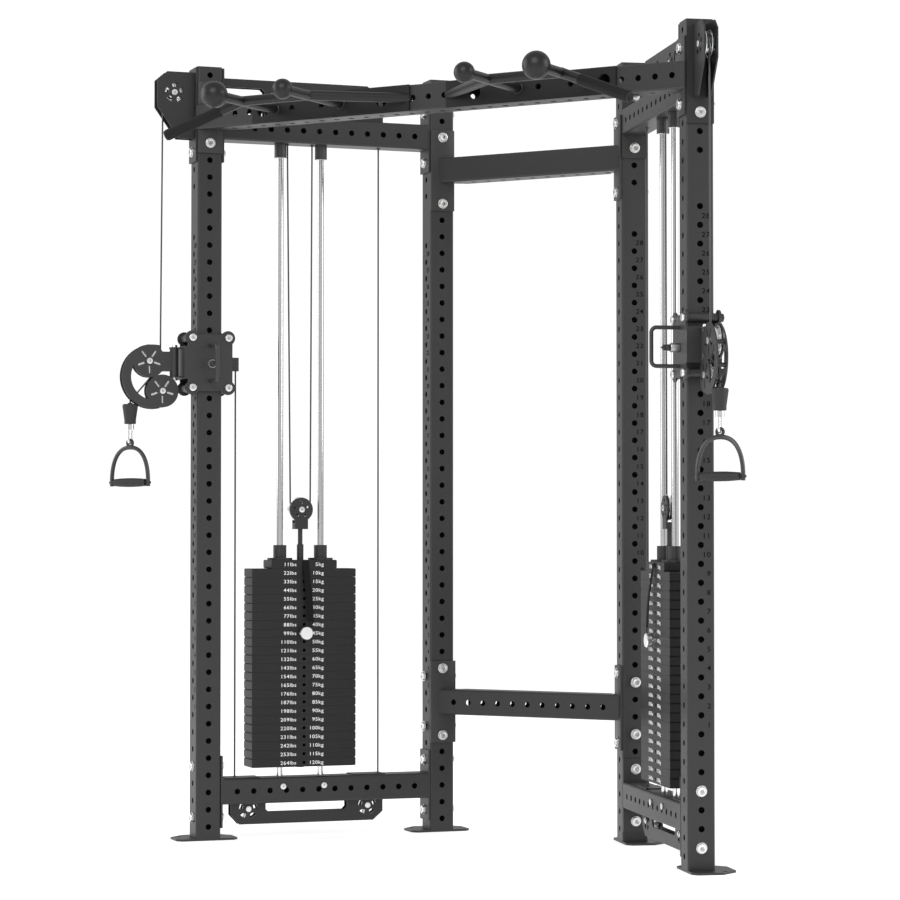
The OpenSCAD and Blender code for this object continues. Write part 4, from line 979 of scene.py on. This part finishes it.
# %% Ribbed stirrup grips
GRIP_HALF, GRIP_Z, STOP_S = 56.3, 1043, -228
GRIP_BORE, GRIP_END, SWELL, RIB, STEPS = 4.1, 10.4, 2.4, 0.35, 80
outline = [(GRIP_BORE, -GRIP_HALF), (GRIP_END - 0.9, -GRIP_HALF), (GRIP_END, -GRIP_HALF + 1)]
for k in range(STEPS + 1):
    x = -GRIP_HALF + 3 + k * (2 * GRIP_HALF - 6) / STEPS
    swell = GRIP_END + SWELL * cos(x / GRIP_HALF * pi / 2)
    rib = RIB * (1 if k % 4 in (1, 2) else -1) if 6 < k < STEPS - 6 else 0
    outline.append((swell + rib, x))
outline += [(GRIP_END, GRIP_HALF - 1), (GRIP_END - 0.9, GRIP_HALF), (GRIP_BORE, GRIP_HALF),
            (GRIP_BORE, -GRIP_HALF)]
hang = at(STOP_S, 0, GRIP_Z, Matrix.Rotation(-TURN, 4, "Z"))
ribbed = stamp(bmesh.new(), lathe(outline, 36), hang @ AHEAD)
for made in pair("ribbed_grip", ribbed, "grip", rubber):
    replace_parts(made, made.name.split("_")[0] + "_stirrup_grip")
print("ribbed grips:", 2)

# %% [markdown]
# # End caps
# The uprights are open tubes, and a moulded plastic plug closes each at the top. Only its flange
# shows, so it is a square with rounded corners that is raised into a thin lid.

# %% End caps of the uprights
CAP_SIDE, CAP_FOOT, CAP_H = 0.0745, 2.2618, 0.0027
caps = bmesh.new()
for s in (0, REAR_S):
    cap = bmesh.new()
    square_loop(cap, CAP_SIDE, 0.006, CAP_FOOT)
    bmesh.ops.contextual_create(cap, geom=cap.edges[:])
    thicken(cap, CAP_H)
    stamp(caps, blank(cap), at(s, 0, 0))
pair("tube_caps", caps, "frame", plastic)
print("end caps:", 4)

# %% [markdown]
# # Beam and rear members
# The front beam and the two rear members are square tubes with rounded edges, drilled right through.
# Four plates make the flat walls, drilled or plain, and a rod of the corner's radius lies along each
# edge, which gives the same outside as a rolled tube. The ends are cut with a plane where they meet a
# flange, and the flanges are slabs that are turned with the side panels.

# %% Square tubes and flanges
ROUND, WALL = 6, 3


def square_tube(bm, reach, y, z, sides=(), top=(), bottom=()):
    """A tube along X from -reach to reach, with holes (x, diameter) in its walls."""
    flat = 2 * (HALF - ROUND)
    walls = ((sides, INWARD, (0, y - HALF + WALL, z)), (sides, OUTWARD, (0, y + HALF - WALL, z)),
             (top, Matrix.Identity(4), (0, y, z + HALF - WALL)),
             (bottom, Matrix.Rotation(pi, 4, "X"), (0, y, z - HALF + WALL)))
    for holes, turn, spot in walls:
        if holes:
            drilled_plate(bm, -reach, reach, holes, flat, WALL, at(*spot, turn))
            continue
        plain = Matrix.Diagonal((2 * reach / 1000, flat / 1000, WALL / 1000, 1))
        bmesh.ops.create_cube(bm, size=1, matrix=at(*spot, turn) @ at(0, 0, WALL / 2) @ plain)
    for dy in (-1, 1):
        for dz in (-1, 1):
            edge = (y + dy * (HALF - ROUND), z + dz * (HALF - ROUND))
            bar(bm, (-reach, *edge), (reach, *edge), 2 * ROUND)


def trim(bm):
    """Cuts a tube's ends at the inner face of each side panel's flanges, and closes the cuts."""
    for _, panel in SIDES:
        on_plane = panel @ Vector((0, -FACE / 1000, 0))
        outward = (panel.to_3x3() @ Vector((0, 1, 0))).normalized()
        bmesh.ops.bisect_plane(bm, geom=bm.verts[:] + bm.edges[:] + bm.faces[:], plane_co=on_plane,
                               plane_no=outward, clear_outer=True)
    bmesh.ops.holes_fill(bm, edges=[e for e in bm.edges if e.is_boundary], sides=0)
    bmesh.ops.recalc_face_normals(bm, faces=bm.faces)


def slab(bm, x0, x1, y0, y1, z0, z1, place=Matrix.Identity(4)):
    """A block from one corner to the other, in millimetres, with its edges eased."""
    block = bmesh.new()
    middle = at((x0 + x1) / 2, (y0 + y1) / 2, (z0 + z1) / 2)
    spans = Matrix.Diagonal(((x1 - x0) / 1000, (y1 - y0) / 1000, (z1 - z0) / 1000, 1))
    bmesh.ops.create_cube(block, size=1, matrix=middle @ spans)
    bmesh.ops.bevel(block, geom=block.edges[:], offset=0.0008, segments=2, profile=0.5, material=-1,
                    affect="EDGES")
    stamp(bm, blank(block), place)


print("tubes", 2 * HALF, "mm wide can be drilled and trimmed")

# %% Front beam
BEAM_REACH, BEAM_FLANGE = 829, 105
beam_y = FRONT.y * 1000 - 24.1
beam = bmesh.new()
beam_holes = [(HOLE_STEP * k, BIG_HOLE if abs(k) in (3, 11) else HOLE) for k in range(-15, 16)]
under_holes = [(HOLE_STEP * k + 25, HOLE) for k in range(-14, 14)]
square_tube(beam, BEAM_REACH, beam_y, BEAM_Z, sides=beam_holes, bottom=under_holes)
trim(beam)
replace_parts(piece("drilled_beam", blank(beam), "frame", frame_paint), "front_beam")
beam_ends = bmesh.new()
slab(beam_ends, -HALF, HALF, -FACE, -HALF, BEAM_Z - BEAM_FLANGE, BEAM_Z + BEAM_FLANGE)
pair("beam_flanges", beam_ends, "frame", frame_paint)
print("holes in the beam:", len(beam_holes) + len(under_holes))

# %% Rear members
REAR_REACH, REAR_FLANGE, LEG_END = 326, 122, 776
rear_y = FRONT.y * 1000 + REAR_S * sin(TURN)
rear_holes = [(HOLE_STEP * k, HOLE) for k in range(-5, 6)]
rear = bmesh.new()
square_tube(rear, REAR_REACH, rear_y, REAR_LOW, sides=rear_holes)
square_tube(rear, REAR_REACH, rear_y, REAR_HIGH, top=rear_holes, bottom=rear_holes)
trim(rear)
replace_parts(piece("drilled_rear_members", blank(rear), "frame", frame_paint),
            "rear_crossmembers")
rear_ends = bmesh.new()
near, far = REAR_S - HALF, REAR_S + HALF
for z in (REAR_LOW, REAR_HIGH):
    slab(rear_ends, near, far, -FACE, -HALF, z - REAR_FLANGE, z + REAR_FLANGE)
    slab(rear_ends, far, LEG_END, -FACE, -HALF, z - HALF, z + HALF)
slab(rear_ends, far, far + PLATE, -HALF, HALF, REAR_LOW - REAR_FLANGE, REAR_LOW + REAR_FLANGE)
pair("rear_flanges", rear_ends, "frame", frame_paint)
print("holes in a rear member:", 2 * len(rear_holes))

# %% [markdown]
# # Stirrups
# A stirrup is one steel rod bent into an arch that is rounder than a half ellipse, with straight cut
# feet that run on below the grip. A superellipse gives that arch with one number for its fullness, and
# a curve with a round bevel sweeps the rod along it. The hook's eye is a turned ring on a short neck.

# %% Bent stirrups
ARCH_W, ARCH_H, FULLNESS, FOOT, ROD_RADIUS, PIN_END = 64.6, 102, 2 / 2.35, -11, 6.35, 72.5
angles = [pi * k / 40 for k in range(41)]
arch_points = [(ARCH_W, FOOT)] + [
    (ARCH_W * abs(cos(a)) ** FULLNESS * (1 if cos(a) > 0 else -1), ARCH_H * abs(sin(a)) ** FULLNESS)
    for a in angles] + [(-ARCH_W, FOOT)]
rod = blank(cable(arch_points, ROD_RADIUS))
stirrups = stamp(bmesh.new(), rod, hang)
pin_outline = [(0, -PIN_END), (4, -PIN_END), (4, PIN_END), (0, PIN_END)]
stamp(stirrups, lathe(pin_outline, 20), hang @ AHEAD)
eye = lathe([(5.6, -2.5), (12.4, -2.5), (13, -1.9), (13, 1.9), (12.4, 2.5), (5.6, 2.5),
             (5.6, -2.5)], 32)
stamp(stirrups, eye, hang @ at(0, 0, 115, OUTWARD))
slab(stirrups, -12, 12, -2.5, 2.5, ARCH_H - 3, ARCH_H + 6, hang)
for made in pair("bent_stirrup", stirrups, "stirrup", plastic):
    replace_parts(made, made.name.split("_")[0] + "_stirrup")
print("stirrups:", 2, "arches", ARCH_H, "mm high")

# %% [markdown]
# # Cable stops
# The rubber stop that the arm catches is a cone that narrows to a short straight collar, with a small
# nipple where the cable enters. It is turned from one outline, with its sharp edges rounded off.

# %% Rubber stops
STOP_FOOT = 1213.5
cone = lathe([(0, 0), (15.4, 0), (16.2, 0.5), (17, 1.6), (17, 12.4), (17.4, 14), (22.7, 51.6),
              (22.8, 53.4), (21.4, 56.6), (19, 58), (8.2, 58), (6.6, 61), (4.2, 62), (0, 62)], 44)
stud = lathe([(0, -13), (7, -13), (7, -9), (4, -9), (4, 0), (0, 0)], 20)
stops = bmesh.new()
for shape in (cone, stud):
    stamp(stops, shape, at(STOP_S, 0, STOP_FOOT))
for made in pair("rubber_stop", stops, "pull", rubber):
    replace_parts(made, made.name.split("_")[0] + "_cable_stop")
print("rubber stops:", 2)
